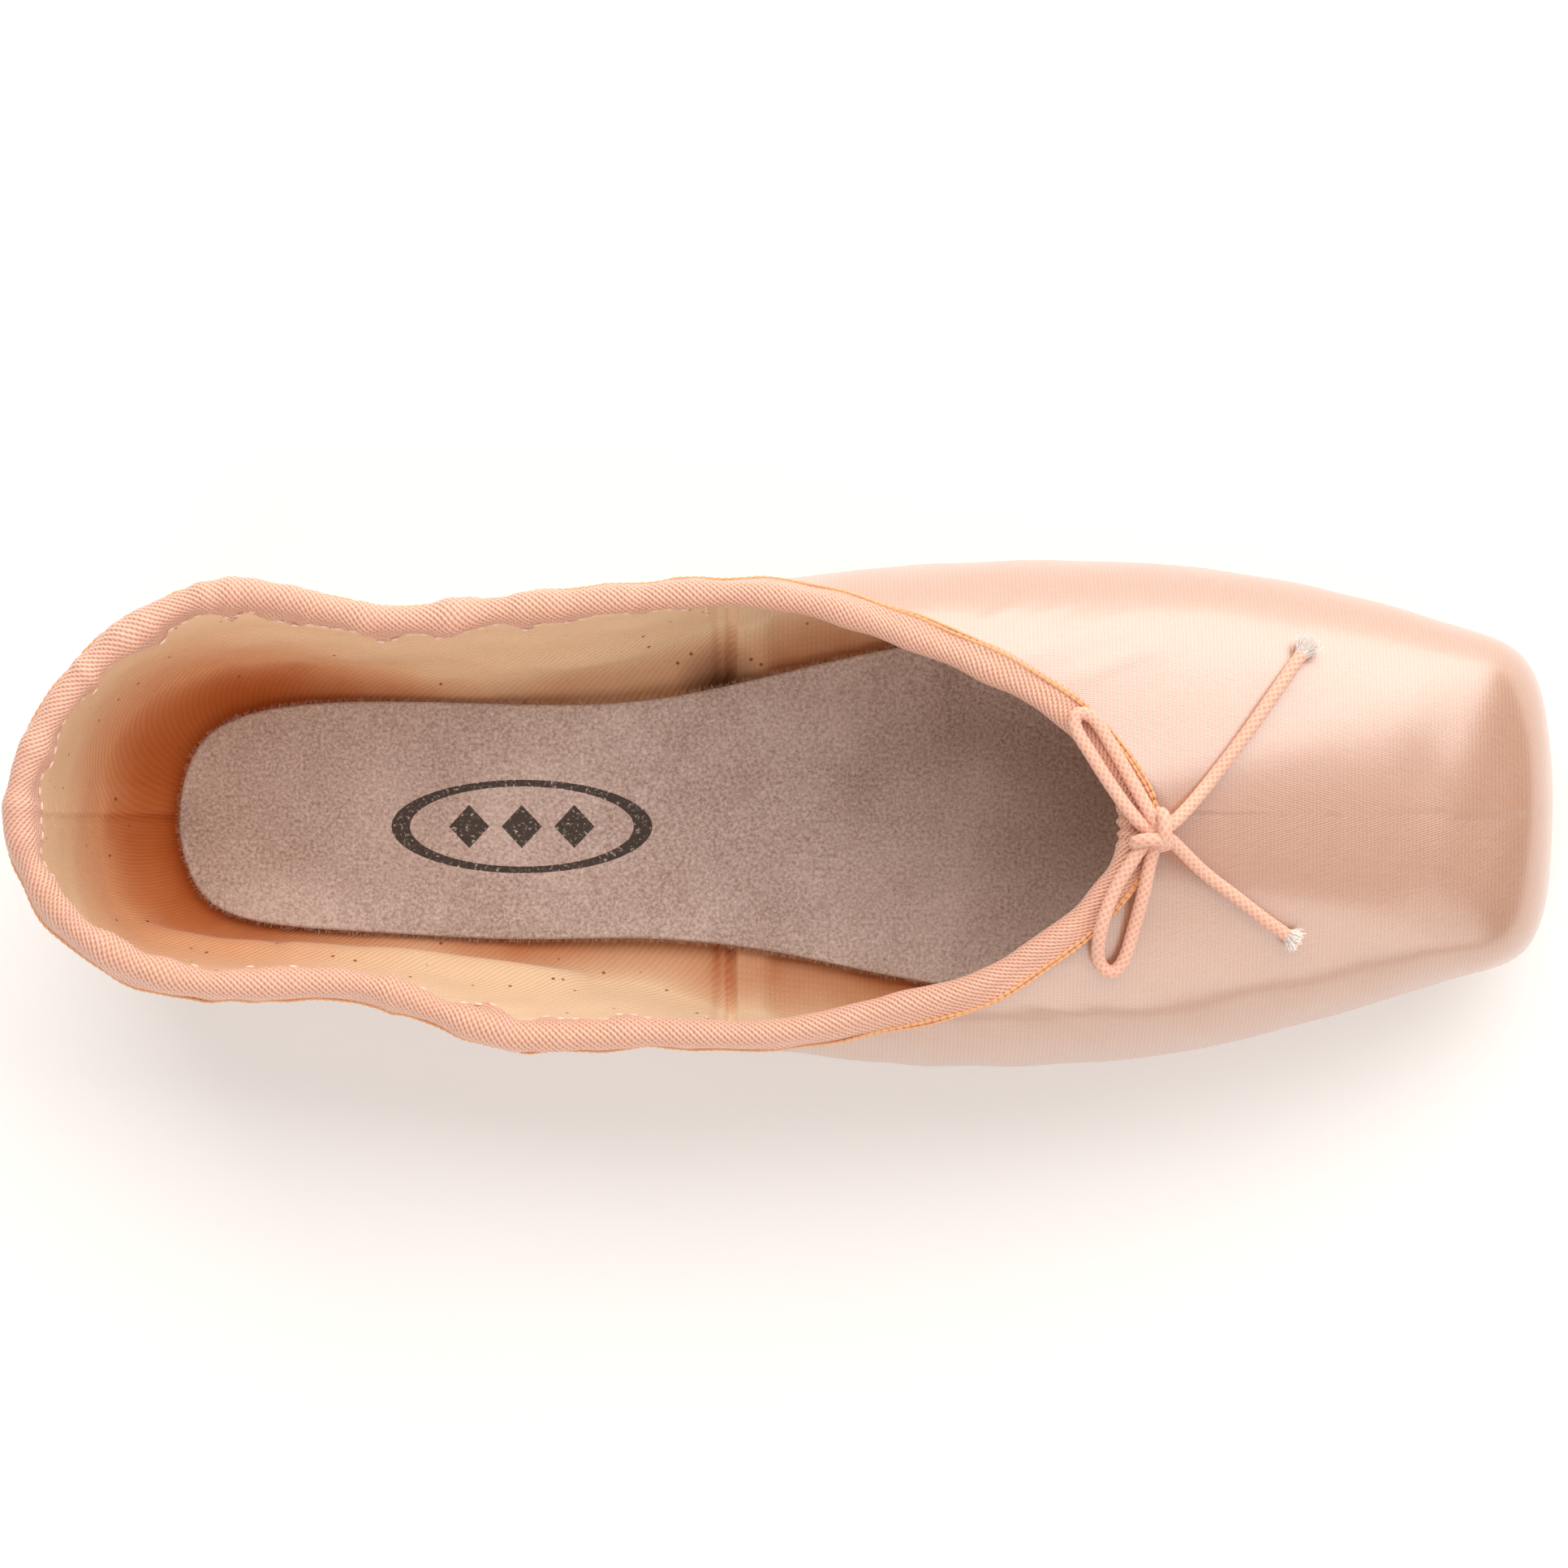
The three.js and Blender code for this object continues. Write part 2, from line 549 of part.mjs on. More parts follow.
const shoe = new THREE.Group();
shoe.add(outsole(), insole(), upper(), binding(), knot());
shoe.add(cord("drawstring_loop_left", LOOP_LEFT), cord("drawstring_loop_right", LOOP_RIGHT));
shoe.add(cord("drawstring_end_left", END_LEFT), cord("drawstring_end_right", END_RIGHT));

export default shoe;
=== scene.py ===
"""Looks of a satin pointe shoe: satin, canvas lining, twill binding, suede insole, leather sole, bow.

The shoe stands on its sole with the toe towards +X and the wearer's left towards +Y. Every piece is
worked out from the same named sizes and station tables as the solids: lengths are millimetres in
the code and become metres when a mesh is made.
"""

import logging
import math
from dataclasses import dataclass, field
from enum import Enum
from typing import Callable, ClassVar, NamedTuple, Sequence

import bmesh
import bpy
import numpy as np
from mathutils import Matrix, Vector

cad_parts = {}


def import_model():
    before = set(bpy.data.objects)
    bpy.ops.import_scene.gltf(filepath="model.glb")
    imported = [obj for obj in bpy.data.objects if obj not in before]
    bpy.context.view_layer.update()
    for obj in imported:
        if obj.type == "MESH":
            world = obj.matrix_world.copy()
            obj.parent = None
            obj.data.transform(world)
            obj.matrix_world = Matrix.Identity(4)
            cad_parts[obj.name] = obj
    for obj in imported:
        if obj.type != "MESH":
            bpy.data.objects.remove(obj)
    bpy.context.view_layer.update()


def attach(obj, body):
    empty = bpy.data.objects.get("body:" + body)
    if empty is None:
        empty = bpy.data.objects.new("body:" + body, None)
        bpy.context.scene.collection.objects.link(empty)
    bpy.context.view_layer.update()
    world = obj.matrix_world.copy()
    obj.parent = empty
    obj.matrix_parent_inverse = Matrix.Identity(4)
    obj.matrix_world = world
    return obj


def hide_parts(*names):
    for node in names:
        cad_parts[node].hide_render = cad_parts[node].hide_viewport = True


MM = 0.001
LOG = logging.getLogger("pointe_shoe")
Place = tuple[float, float, float]
WAVE_STEP = 0.314  # a wave texture of this scale has its bands one unit apart
SLANT = 1.41  # how much wider apart slanted bands are along an edge than across


# ---------------------------------------------------------------- nodes, colours and meshes


def add_node(tree: bpy.types.NodeTree, kind: str, links: dict | None = None, **settings) -> bpy.types.Node:
    """Adds a node.

    Args:
        tree: The node tree that gets it.
        kind: The node's type.
        links: What each input holds, by name or number: a socket to link from, or a value.
        **settings: The node's own properties.

    Returns:
        The new node.
    """
    node = tree.nodes.new(kind)
    for name, value in settings.items():
        setattr(node, name, value)
    for key, value in (links or {}).items():
        if isinstance(value, bpy.types.NodeSocket):
            tree.links.new(value, node.inputs[key])
        else:
            node.inputs[key].default_value = value
    return node


def linear(hex_colour: str) -> tuple[float, float, float, float]:
    """Turns an sRGB hex colour into linear light.

    Args:
        hex_colour: Such as "#e6ab8e".

    Returns:
        Red, green, blue and an alpha of 1.
    """
    shares = [int(hex_colour[i : i + 2], 16) / 255 for i in (1, 3, 5)]
    red, green, blue = ((s / 12.92) if s <= 0.04045 else ((s + 0.055) / 1.055) ** 2.4 for s in shares)
    return (red, green, blue, 1.0)


def ease(value: np.ndarray, start: float, end: float) -> np.ndarray:
    """Goes smoothly from 0 at start to 1 at end."""
    share = np.clip((value - start) / (end - start), 0.0, 1.0)
    return share * share * (3 - 2 * share)


def unit(vectors: np.ndarray) -> np.ndarray:
    """Scales each vector to length 1."""
    return vectors / np.maximum(np.linalg.norm(vectors, axis=-1, keepdims=True), 1e-9)


def grid_object(
    name: str,
    points: np.ndarray,
    uv: np.ndarray,
    materials: Sequence[bpy.types.Material],
    wrap_rows: bool = True,
    wrap_columns: bool = True,
    hollow_shade: np.ndarray | None = None,
) -> bpy.types.Object:
    """Makes a smooth object from a grid of points.

    Args:
        name: The object's name.
        points: Rows by columns of points, in millimetres.
        uv: The same grid of cloth coordinates in millimetres, one longer wherever the grid wraps.
        materials: The object's materials.
        wrap_rows: Whether the last row joins the first.
        wrap_columns: Whether the last column joins the first. Without it the rows' ends are closed.
        hollow_shade: How deep each point lies between the strands, from 0 to 1, which the thread's finish paints as
            shade.

    Returns:
        The new object, at the origin.
    """
    rows, columns = points.shape[:2]
    i, j = np.meshgrid(
        np.arange(rows if wrap_rows else rows - 1),
        np.arange(columns if wrap_columns else columns - 1),
        indexing="ij",
    )
    corners = [(i, j), (i + 1, j), (i + 1, j + 1), (i, j + 1)]
    faces = np.stack([(a % rows) * columns + b % columns for a, b in corners], axis=-1).reshape(-1, 4)
    loops = np.stack([uv[a, b] for a, b in corners], axis=2).reshape(-1, 2)
    face_list = faces.tolist()
    if not wrap_rows:
        face_list.append(list(range(columns))[::-1])
        face_list.append([(rows - 1) * columns + k for k in range(columns)])
        loops = np.concatenate([loops, uv[0, :columns][::-1], uv[rows - 1, :columns]])
    mesh = bpy.data.meshes.new(name)
    mesh.from_pydata((points.reshape(-1, 3) * MM).tolist(), [], face_list)
    mesh.uv_layers.new(name="cloth").data.foreach_set("uv", loops.astype(np.float32).ravel())
    mesh.polygons.foreach_set("use_smooth", [True] * len(mesh.polygons))
    for material in materials:
        mesh.materials.append(material)
    if hollow_shade is not None:
        mesh.attributes.new("hollow_shade", "FLOAT", "POINT").data.foreach_set("value", hollow_shade.astype(np.float32).ravel())
    mesh.validate()
    piece = bpy.data.objects.new(name, mesh)
    bpy.context.scene.collection.objects.link(piece)
    return piece


def closed_uv(u: np.ndarray, v: np.ndarray) -> np.ndarray:
    """Pairs cloth coordinates of a grid into one array.

    Args:
        u: Rows by columns of the first coordinate.
        v: Rows by columns of the second.

    Returns:
        Rows by columns by two.
    """
    return np.stack(np.broadcast_arrays(u, v), axis=-1)


# ---------------------------------------------------------------- the last


class WallRow(NamedTuple):
    """A station of the wall line and of the shoulder and bottom edge that go with it.

    along is a share of the length in percent, left and right are shares of the ball width from the
    centre line, and heights are millimetres above the floor.
    """

    along: float
    left: float
    right: float
    z: float
    lean: float
    shoulder: float
    tight: float
    edge: float
    edge_tight: float


class LineRow(NamedTuple):
    """A station of the collar, of the opening under the foot, or of a flat outline."""

    along: float
    left: float
    right: float
    z: float = 0.0


THROAT = 50.0
HEEL = 52.0
QUARTER = 41.0
BOX = 34.0

WALL = (
    WallRow(100.0, 0.8, 0.8, 17, -1.5, BOX, 3.2, 4.2, 3.0),
    WallRow(98.8, 27.4, -24.6, 17, -1.0, BOX, 2.3, 4.2, 2.2),
    WallRow(94.8, 36.0, -31.8, 17, -0.6, BOX + 1, 1.8, 4.0, 1.6),
    WallRow(89.0, 41.3, -37.2, 17, -0.4, BOX + 4, 1.4, 3.8, 1.3),
    WallRow(82.0, 46.2, -43.1, 17, -0.2, BOX + 8, 1.1, 3.4, 1.1),
    WallRow(74.8, 49.1, -47.8, 17, 0.0, THROAT - 5, 1.0, 3.0, 1.0),
    WallRow(66.4, 50.0, -50.0, 17, 0.0, THROAT - 8, 0.9, 2.9, 1.0),
    WallRow(57.8, 48.8, -49.8, 17, 0.0, QUARTER - 3, 0.9, 3.0, 1.1),
    WallRow(48.9, 45.2, -46.2, 17, 1.0, QUARTER - 9, 1.0, 3.6, 1.4),
    WallRow(40.4, 38.4, -40.6, 17, 3.6, QUARTER - 11, 1.0, 4.4, 2.0),
    WallRow(31.8, 34.6, -38.0, 17, 4.4, QUARTER - 11, 1.0, 4.6, 2.4),
    WallRow(23.6, 33.8, -34.4, 17, 3.8, QUARTER - 10, 1.0, 3.8, 2.4),
    WallRow(15.2, 35.0, -32.4, 17, 4.2, QUARTER - 8, 1.0, 3.0, 2.2),
    WallRow(8.2, 29.4, -29.6, 18, 4.4, HEEL - 18, 1.0, 3.0, 2.0),
    WallRow(4.3, 16.4, -18.6, 18, 3.6, HEEL - 17, 1.0, 3.0, 1.9),
    WallRow(3.2, -1.0, -1.0, 18, 3.4, HEEL - 17, 1.0, 3.0, 1.9),
)
COLLAR = (
    LineRow(72.0, -2.4, -2.4, THROAT),
    LineRow(71.8, 1.8, -6.6, THROAT),
    LineRow(71.3, 6.2, -11.0, THROAT - 0.1),
    LineRow(70.2, 11.2, -15.6, THROAT - 0.4),
    LineRow(68.5, 17.2, -21.0, THROAT - 0.8),
    LineRow(65.8, 23.2, -27.0, THROAT - 1.6),
    LineRow(62.0, 29.4, -33.8, THROAT - 3),
    LineRow(56.9, 36.0, -38.0, THROAT - 5),
    LineRow(49.4, 42.9, -43.2, QUARTER + 1.8),
    LineRow(40.6, 42.7, -43.4, QUARTER + 0.4),
    LineRow(31.8, 40.4, -43.2, QUARTER),
    LineRow(23.6, 39.0, -34.2, QUARTER + 2),
    LineRow(14.8, 43.4, -33.9, QUARTER + 5.6),
    LineRow(7.2, 31.8, -27.0, HEEL - 2.4),
    LineRow(3.0, 15.4, -13.8, HEEL - 0.4),
    LineRow(1.6, 0.4, 0.4, HEEL),
)
OPENING = (
    LineRow(87.0, 0.5, 0.5),
    LineRow(86.2, 10.0, -8.8),
    LineRow(84.0, 17.0, -15.4),
    LineRow(80.8, 21.8, -20.2),
    LineRow(76.8, 25.4, -24.4),
    LineRow(71.6, 27.6, -27.2),
    LineRow(65.0, 28.4, -28.4),
    LineRow(57.4, 25.8, -26.4),
    LineRow(49.0, 19.4, -20.6),
    LineRow(40.4, 13.8, -16.0),
    LineRow(31.8, 11.6, -14.6),
    LineRow(23.6, 11.8, -14.2),
    LineRow(18.2, 11.8, -13.8),
    LineRow(15.0, 9.8, -12.0),
    LineRow(13.2, 5.6, -7.8),
    LineRow(12.6, -1.2, -1.2),
)
OUTSOLE = (
    LineRow(91.4, 0.6, 0.6),
    LineRow(90.0, 13.0, -11.8),
    LineRow(86.0, 23.4, -21.6),
    LineRow(79.0, 31.4, -30.2),
    LineRow(70.5, 35.4, -35.2),
    LineRow(62.0, 34.8, -35.4),
    LineRow(53.5, 29.0, -30.6),
    LineRow(45.0, 21.8, -24.0),
    LineRow(36.0, 17.6, -20.4),
    LineRow(27.0, 17.0, -19.6),
    LineRow(18.5, 18.4, -20.4),
    LineRow(12.0, 15.6, -18.0),
    LineRow(9.0, 8.0, -10.6),
    LineRow(8.2, -1.2, -1.2),
)
INSOLE = (
    LineRow(91.6, 0.8, 0.8),
    LineRow(90.0, 15.6, -14.0),
    LineRow(85.0, 26.2, -24.0),
    LineRow(76.0, 34.4, -33.2),
    LineRow(66.5, 36.2, -36.0),
    LineRow(57.5, 33.0, -33.0),
    LineRow(49.5, 27.6, -28.0),
    LineRow(41.0, 22.4, -25.2),
    LineRow(32.5, 21.6, -25.4),
    LineRow(24.0, 22.2, -24.2),
    LineRow(17.0, 21.0, -22.6),
    LineRow(12.6, 16.4, -18.6),
    LineRow(10.8, 8.2, -10.6),
    LineRow(10.3, -1.6, -1.6),
)


class ClosedSpline:
    """The smooth closed curve through a ring of points, read by station number."""

    def __init__(self, points: np.ndarray) -> None:
        """Solves for the slope at each point, so that the curvature never jumps.

        Args:
            points: One row for each station.
        """
        count = len(points)
        ahead = np.roll(np.eye(count), 1, axis=1)
        matrix = 4 * np.eye(count) + ahead + ahead.T
        self.points = points
        self.slopes = np.linalg.solve(matrix, 3 * (np.roll(points, -1, axis=0) - np.roll(points, 1, axis=0)))

    def __call__(self, station: np.ndarray) -> np.ndarray:
        """Returns the curve's points at these stations.

        Args:
            station: Places along the curve; whole numbers are its given points.

        Returns:
            One point for each station.
        """
        count = len(self.points)
        whole = np.floor(station)
        t = (station - whole)[..., None]
        here = whole.astype(int) % count
        there = (here + 1) % count
        value = self.points[here] * (1 + 2 * t) * (1 - t) ** 2
        value = value + self.points[there] * t * t * (3 - 2 * t)
        return value + self.slopes[here] * t * (1 - t) ** 2 + self.slopes[there] * t * t * (t - 1)


def conic(start: np.ndarray, corner: np.ndarray, end: np.ndarray, pull: np.ndarray, t: np.ndarray) -> np.ndarray:
    """Returns points on a conic arc that is pulled towards a corner; a pull of 0.7 is an ellipse.

    Args:
        start: Where the arc begins.
        corner: The corner it is pulled to.
        end: Where the arc ends.
        pull: The weight of the corner.
        t: Places along the arc, 0 to 1.

    Returns:
        Points, one for each place.
    """
    first = (1 - t) ** 2
    middle = 2 * t * (1 - t) * pull
    last = t**2
    return (start * first + corner * middle + end * last) / (first + middle + last)


@dataclass
class Last:
    """The shoe's true form, from the opening under the foot to the collar.

    A station counts round the shoe from the toe over the left side to the heel and back. A rise
    runs from 0 at the opening's edge, through 1 at the wall line, to 2 at the collar.
    """

    length: float = 231.0
    middle: float = 0.5055
    ball_width: float = 75.8
    gap: float = 0.3
    outsole_thickness: float = 2.6
    quarter_wall: float = 1.6
    box_wall: float = 2.8
    arch_back: float = -58.0
    arch_front: float = 12.0
    arch_rise: float = 2.0
    spring_start: float = 62.0
    spring_end: float = 98.0
    spring_rise: float = 1.2

    def __post_init__(self) -> None:
        """Draws the closed lines that the skin hangs on."""
        self.stations = 2 * (len(WALL) - 1)
        self.wall_line = self.ring(WALL, lambda row, side: (self.x(row.along), self.y(side), row.z))
        self.collar_line = self.ring(COLLAR, lambda row, side: (self.x(row.along), self.y(side), row.z))
        self.opening_line = self.ring(OPENING, self.opening_point)
        self.shoulder_line = self.ring(WALL, lambda row, side: (row.lean, row.shoulder, row.edge))
        self.tight_line = self.ring(WALL, lambda row, side: (row.tight, row.edge_tight, 0.0))

    def ring(self, rows: Sequence[NamedTuple], place: Callable[[NamedTuple, float], tuple]) -> ClosedSpline:
        """Turns a table into a closed curve, by the left side and back by the right.

        Args:
            rows: The table, from toe to heel.
            place: Gives a row's three numbers for one side.

        Returns:
            The curve.
        """
        left = [place(row, row.left) for row in rows]
        right = [place(row, row.right) for row in rows[1:-1]]
        return ClosedSpline(np.array(left + right[::-1], dtype=float))

    def x(self, along: float | np.ndarray) -> float | np.ndarray:
        """Turns percent of the length into millimetres."""
        return (along / 100 - self.middle) * self.length

    def y(self, side: float | np.ndarray) -> float | np.ndarray:
        """Turns percent of the ball width into millimetres."""
        return side / 100 * self.ball_width

    def opening_point(self, row: LineRow, side: float) -> tuple[float, float, float]:
        """Returns a point of the opening's edge."""
        x = self.x(row.along)
        return (x, self.y(side), float(self.turn_in(np.array(x))))

    def tread(self, x: np.ndarray) -> np.ndarray:
        """Returns the height of the outsole's tread above the floor.

        Args:
            x: Places along the shoe.

        Returns:
            Heights.
        """
        share = np.clip((x - self.arch_back) / (self.arch_front - self.arch_back), 0, 1)
        arch = self.arch_rise * np.sin(np.pi * share) ** 2
        return arch + self.spring_rise * ease(x, self.spring_start, self.spring_end)

    def turn_in(self, x: np.ndarray) -> np.ndarray:
        """Returns the height of the upper's turned-in edge."""
        return self.tread(x) + self.outsole_thickness + self.gap

    def wall(self, x: np.ndarray) -> np.ndarray:
        """Returns the upper's thickness."""
        return self.quarter_wall + (self.box_wall - self.quarter_wall) * ease(x, 40, 85)

    def skin(self, station: np.ndarray, rise: np.ndarray) -> np.ndarray:
        """Returns points on the outside of the upper.

        Args:
            station: Places round the shoe.
            rise: Places up the wall, of the same shape.

        Returns:
            Points in millimetres.
        """
        station, rise = np.broadcast_arrays(station, rise)
        wall = self.wall_line(station)
        opening = self.opening_line(station)
        shoulder_set = self.shoulder_line(station)
        tight_set = self.tight_line(station)
        lean, shoulder_z, edge_z = (shoulder_set[..., k : k + 1] for k in range(3))
        out = wall - opening
        out[..., 2] = 0
        out = unit(out)
        shoulder = wall + out * lean
        shoulder[..., 2] = shoulder_z[..., 0]
        edge = wall - out * lean * (wall[..., 2:] - edge_z) / (shoulder_z - wall[..., 2:])
        edge[..., 2] = edge_z[..., 0]
        t = np.clip(rise, 0, 2)[..., None]
        upper = conic(wall, shoulder, self.collar_line(station), tight_set[..., :1], np.clip(t - 1, 0, 1))
        lower = conic(opening, edge, wall, tight_set[..., 1:2], np.clip(t, 0, 1))
        return np.where(t >= 1, upper, lower)

    def outward(self, station: np.ndarray, rise: np.ndarray) -> np.ndarray:
        """Returns the direction out of the skin at each place.

        Args:
            station: Places round the shoe.
            rise: Places up the wall.

        Returns:
            Unit vectors.
        """
        step = 0.01
        station, rise = np.broadcast_arrays(station, rise)
        around = self.skin(station + step, rise) - self.skin(station - step, rise)
        up = self.skin(station, np.minimum(rise + step, 2)) - self.skin(station, np.maximum(rise - step, 0))
        return unit(np.cross(around, up))

    def even_stations(
        self, line: ClosedSpline, count: int, seams: Sequence[float] = ()
    ) -> tuple[np.ndarray, np.ndarray]:
        """Spreads stations evenly along one of the closed lines, and closer together near seams.

        Args:
            line: The line to walk along.
            count: How many stations.
            seams: Stations of the seams.

        Returns:
            The stations, and the distance walked to each and to the start again.
        """
        fine = np.linspace(0, self.stations, 6001)
        steps = np.linalg.norm(np.diff(line(fine), axis=0), axis=1)
        walked = np.concatenate([[0], np.cumsum(steps)])
        crowd = np.ones_like(walked)
        for seam in seams:
            crowd += 6 * np.exp(-(((walked - np.interp(seam, fine, walked)) / 3.2) ** 2))
        paced = np.concatenate([[0], np.cumsum(steps * (crowd[1:] + crowd[:-1]) / 2)])
        stations = np.interp(np.linspace(0, paced[-1], count + 1), paced, fine)
        return stations[:-1], np.interp(stations, fine, walked)

    def rise_below_collar(self, station: np.ndarray, distance: float | np.ndarray) -> np.ndarray:
        """Returns how far up the wall the skin is at a distance below the collar.

        Args:
            station: Places round the shoe.
            distance: How far below the collar, along the wall.

        Returns:
            Rises, in a column.
        """
        rises = np.linspace(2, 1, 61)
        points = self.skin(station[:, None], rises[None, :])
        steps = np.linalg.norm(np.diff(points, axis=1), axis=-1)
        walked = np.concatenate([np.zeros((len(station), 1)), np.cumsum(steps, axis=1)], axis=1)
        wanted = np.broadcast_to(distance, station.shape)
        return np.array([np.interp(each, row, rises) for each, row in zip(wanted, walked)])

    def outline(self, rows: Sequence[LineRow], count: int, inset: float) -> np.ndarray:
        """Returns a flat outline of count points, drawn in by inset.

        Args:
            rows: The outline's stations.
            count: How many points.
            inset: How far it is drawn in.

        Returns:
            The points, at height 0.
        """
        line = self.ring(rows, lambda row, side: (self.x(row.along), self.y(side), 0.0))
        station = np.arange(count) * 2 * (len(rows) - 1) / count
        forward = line(station + 0.01) - line(station - 0.01)
        inward = unit(np.stack([-forward[:, 1], forward[:, 0], 0 * forward[:, 0]], axis=-1))
        return line(station) + inward * inset


class Crease(NamedTuple):
    """A soft fold in a skin. A height below 0 is a trough. It runs from one place to another."""

    station: float
    rise: float
    to_station: float
    to_rise: float
    width: float
    height: float


def crease_relief(last: Last, points: np.ndarray, creases: Sequence[Crease]) -> np.ndarray:
    """Adds up the folds' heights over a skin.

    Args:
        last: The form that the creases lie on.
        points: The skin's points.
        creases: The folds.

    Returns:
        A height at each point, in millimetres.
    """
    relief = np.zeros(points.shape[:-1])
    for crease in creases:
        share = np.linspace(0, 1, 13)
        station = crease.station + (crease.to_station - crease.station) * share
        rise = crease.rise + (crease.to_rise - crease.rise) * share
        line = last.skin(station, rise)
        best = np.full(relief.shape, 1e9)
        place = np.zeros(relief.shape)
        for k in range(len(line) - 1):
            chord = line[k + 1] - line[k]
            t = np.clip(((points - line[k]) @ chord) / (chord @ chord), 0, 1)
            distance = np.linalg.norm(points - line[k] - t[..., None] * chord, axis=-1)
            closer = distance < best
            best = np.where(closer, distance, best)
            place = np.where(closer, (k + t) / (len(line) - 1), place)
        fade = np.sqrt(np.clip(4 * place * (1 - place), 0, 1))
        relief += crease.height * fade * np.exp(-((best / crease.width) ** 2))
    return relief


def soft_noise(a: np.ndarray, b: np.ndarray, seed: int, waves: int = 7) -> np.ndarray:
    """Returns a smooth uneven value from -1 to 1 that repeats nowhere nearby.

    Args:
        a: First coordinate, in units of about one bump.
        b: Second coordinate.
        seed: Picks the pattern.
        waves: How many waves are added.

    Returns:
        The value at each place.
    """
    chance = np.random.default_rng(seed)
    total = np.zeros(np.broadcast(a, b).shape)
    for _ in range(waves):
        angle, phase, pitch = chance.uniform(0, 2 * np.pi, 3) * (1, 1, 0.16)
        total += np.sin((a * np.cos(angle) + b * np.sin(angle)) * 2 * np.pi * (0.5 + pitch) + phase)
    return total / waves**0.5 / 1.2


# ---------------------------------------------------------------- finishes


@dataclass(frozen=True)
class Finish:
    """A finish that makes its own material."""

    name: str

    def make(self) -> bpy.types.Material:
        """Returns a new material with this finish.

        Returns:
            The material.
        """
        material = bpy.data.materials.new(self.name)
        material.use_nodes = True
        tree = material.node_tree
        tree.nodes.clear()
        shader = add_node(tree, "ShaderNodeBsdfPrincipled")
        add_node(tree, "ShaderNodeOutputMaterial", {"Surface": shader.outputs["BSDF"]})
        self.dress(tree, shader)
        return material

    def dress(self, tree: bpy.types.NodeTree, shader: bpy.types.Node) -> None:
        """Sets the shader up. Each finish has its own.

        Args:
            tree: The material's nodes.
            shader: The Principled shader in it.
        """
        raise NotImplementedError


@dataclass(frozen=True)
class Satin(Finish):
    """Peach shoe satin: glossy floats over a deep ground, so slopes shine white and flats stay warm."""

    ground: str = "#a66d4a"
    pale: str = "#c68f6c"
    thread: float = 0.36

    def dress(self, tree: bpy.types.NodeTree, shader: bpy.types.Node) -> None:
        """Sets the shader up.

        Threads are 0.15 mm apart in the cloth and are drawn at more than twice that, so that they show.

        Args:
            tree: The material's nodes.
            shader: The Principled shader in it.
        """
        uv = add_node(tree, "ShaderNodeUVMap", uv_map="cloth").outputs["UV"]
        place = add_node(tree, "ShaderNodeTexCoord").outputs["Object"]
        weft = add_node(
            tree,
            "ShaderNodeTexWave",
            {"Vector": uv, "Scale": WAVE_STEP / self.thread, "Distortion": 0.5, "Detail": 2.0, "Detail Scale": 0.7},
            bands_direction="Y",
        ).outputs["Fac"]
        floats = add_node(
            tree,
            "ShaderNodeTexWave",
            {
                "Vector": uv,
                "Scale": WAVE_STEP / (1.6 * self.thread),
                "Distortion": 2.5,
                "Detail": 2.0,
                "Detail Scale": 1.2,
            },
            bands_direction="X",
        ).outputs["Fac"]
        stretched = add_node(tree, "ShaderNodeMapping", {"Vector": uv, "Scale": (0.35, 2.6, 1.0)}).outputs["Vector"]
        slubs = add_node(
            tree, "ShaderNodeTexNoise", {"Vector": stretched, "Scale": 1.0, "Detail": 3.0}
        ).outputs["Fac"]
        cloud = add_node(tree, "ShaderNodeTexNoise", {"Vector": place, "Scale": 24.0, "Detail": 4.0}).outputs["Fac"]
        threads = add_node(
            tree, "ShaderNodeMath", {0: floats, 1: 0.6, 2: weft}, operation="MULTIPLY_ADD"
        ).outputs[0]
        grain = add_node(tree, "ShaderNodeMath", {0: threads, 1: slubs}, operation="ADD").outputs[0]
        shade = add_node(tree, "ShaderNodeMapRange", {"Value": grain, "From Min": 0.5, "From Max": 1.9}).outputs[0]
        toned = add_node(tree, "ShaderNodeMath", {0: cloud, 1: 0.3, 2: shade}, operation="MULTIPLY_ADD").outputs[0]
        blend = add_node(
            tree, "ShaderNodeMath", {0: toned, 1: 0.15}, operation="SUBTRACT", use_clamp=True
        ).outputs[0]
        colour = add_node(
            tree,
            "ShaderNodeMix",
            {"Factor": blend, "A": linear(self.ground), "B": linear(self.pale)},
            data_type="RGBA",
        )
        tree.links.new(colour.outputs["Result"], shader.inputs["Base Color"])
        rough = add_node(tree, "ShaderNodeMapRange", {"Value": slubs, "To Min": 0.28, "To Max": 0.38}).outputs[0]
        tree.links.new(rough, shader.inputs["Roughness"])
        bump = add_node(tree, "ShaderNodeBump", {"Height": grain, "Strength": 0.3, "Distance": 0.0001})
        tree.links.new(bump.outputs["Normal"], shader.inputs["Normal"])
        shader.inputs["IOR"].default_value = 1.6
        shader.inputs["Specular IOR Level"].default_value = 1.0
        shader.inputs["Coat Weight"].default_value = 1.0
        shader.inputs["Coat Roughness"].default_value = 0.27
        shader.inputs["Coat IOR"].default_value = 2.3


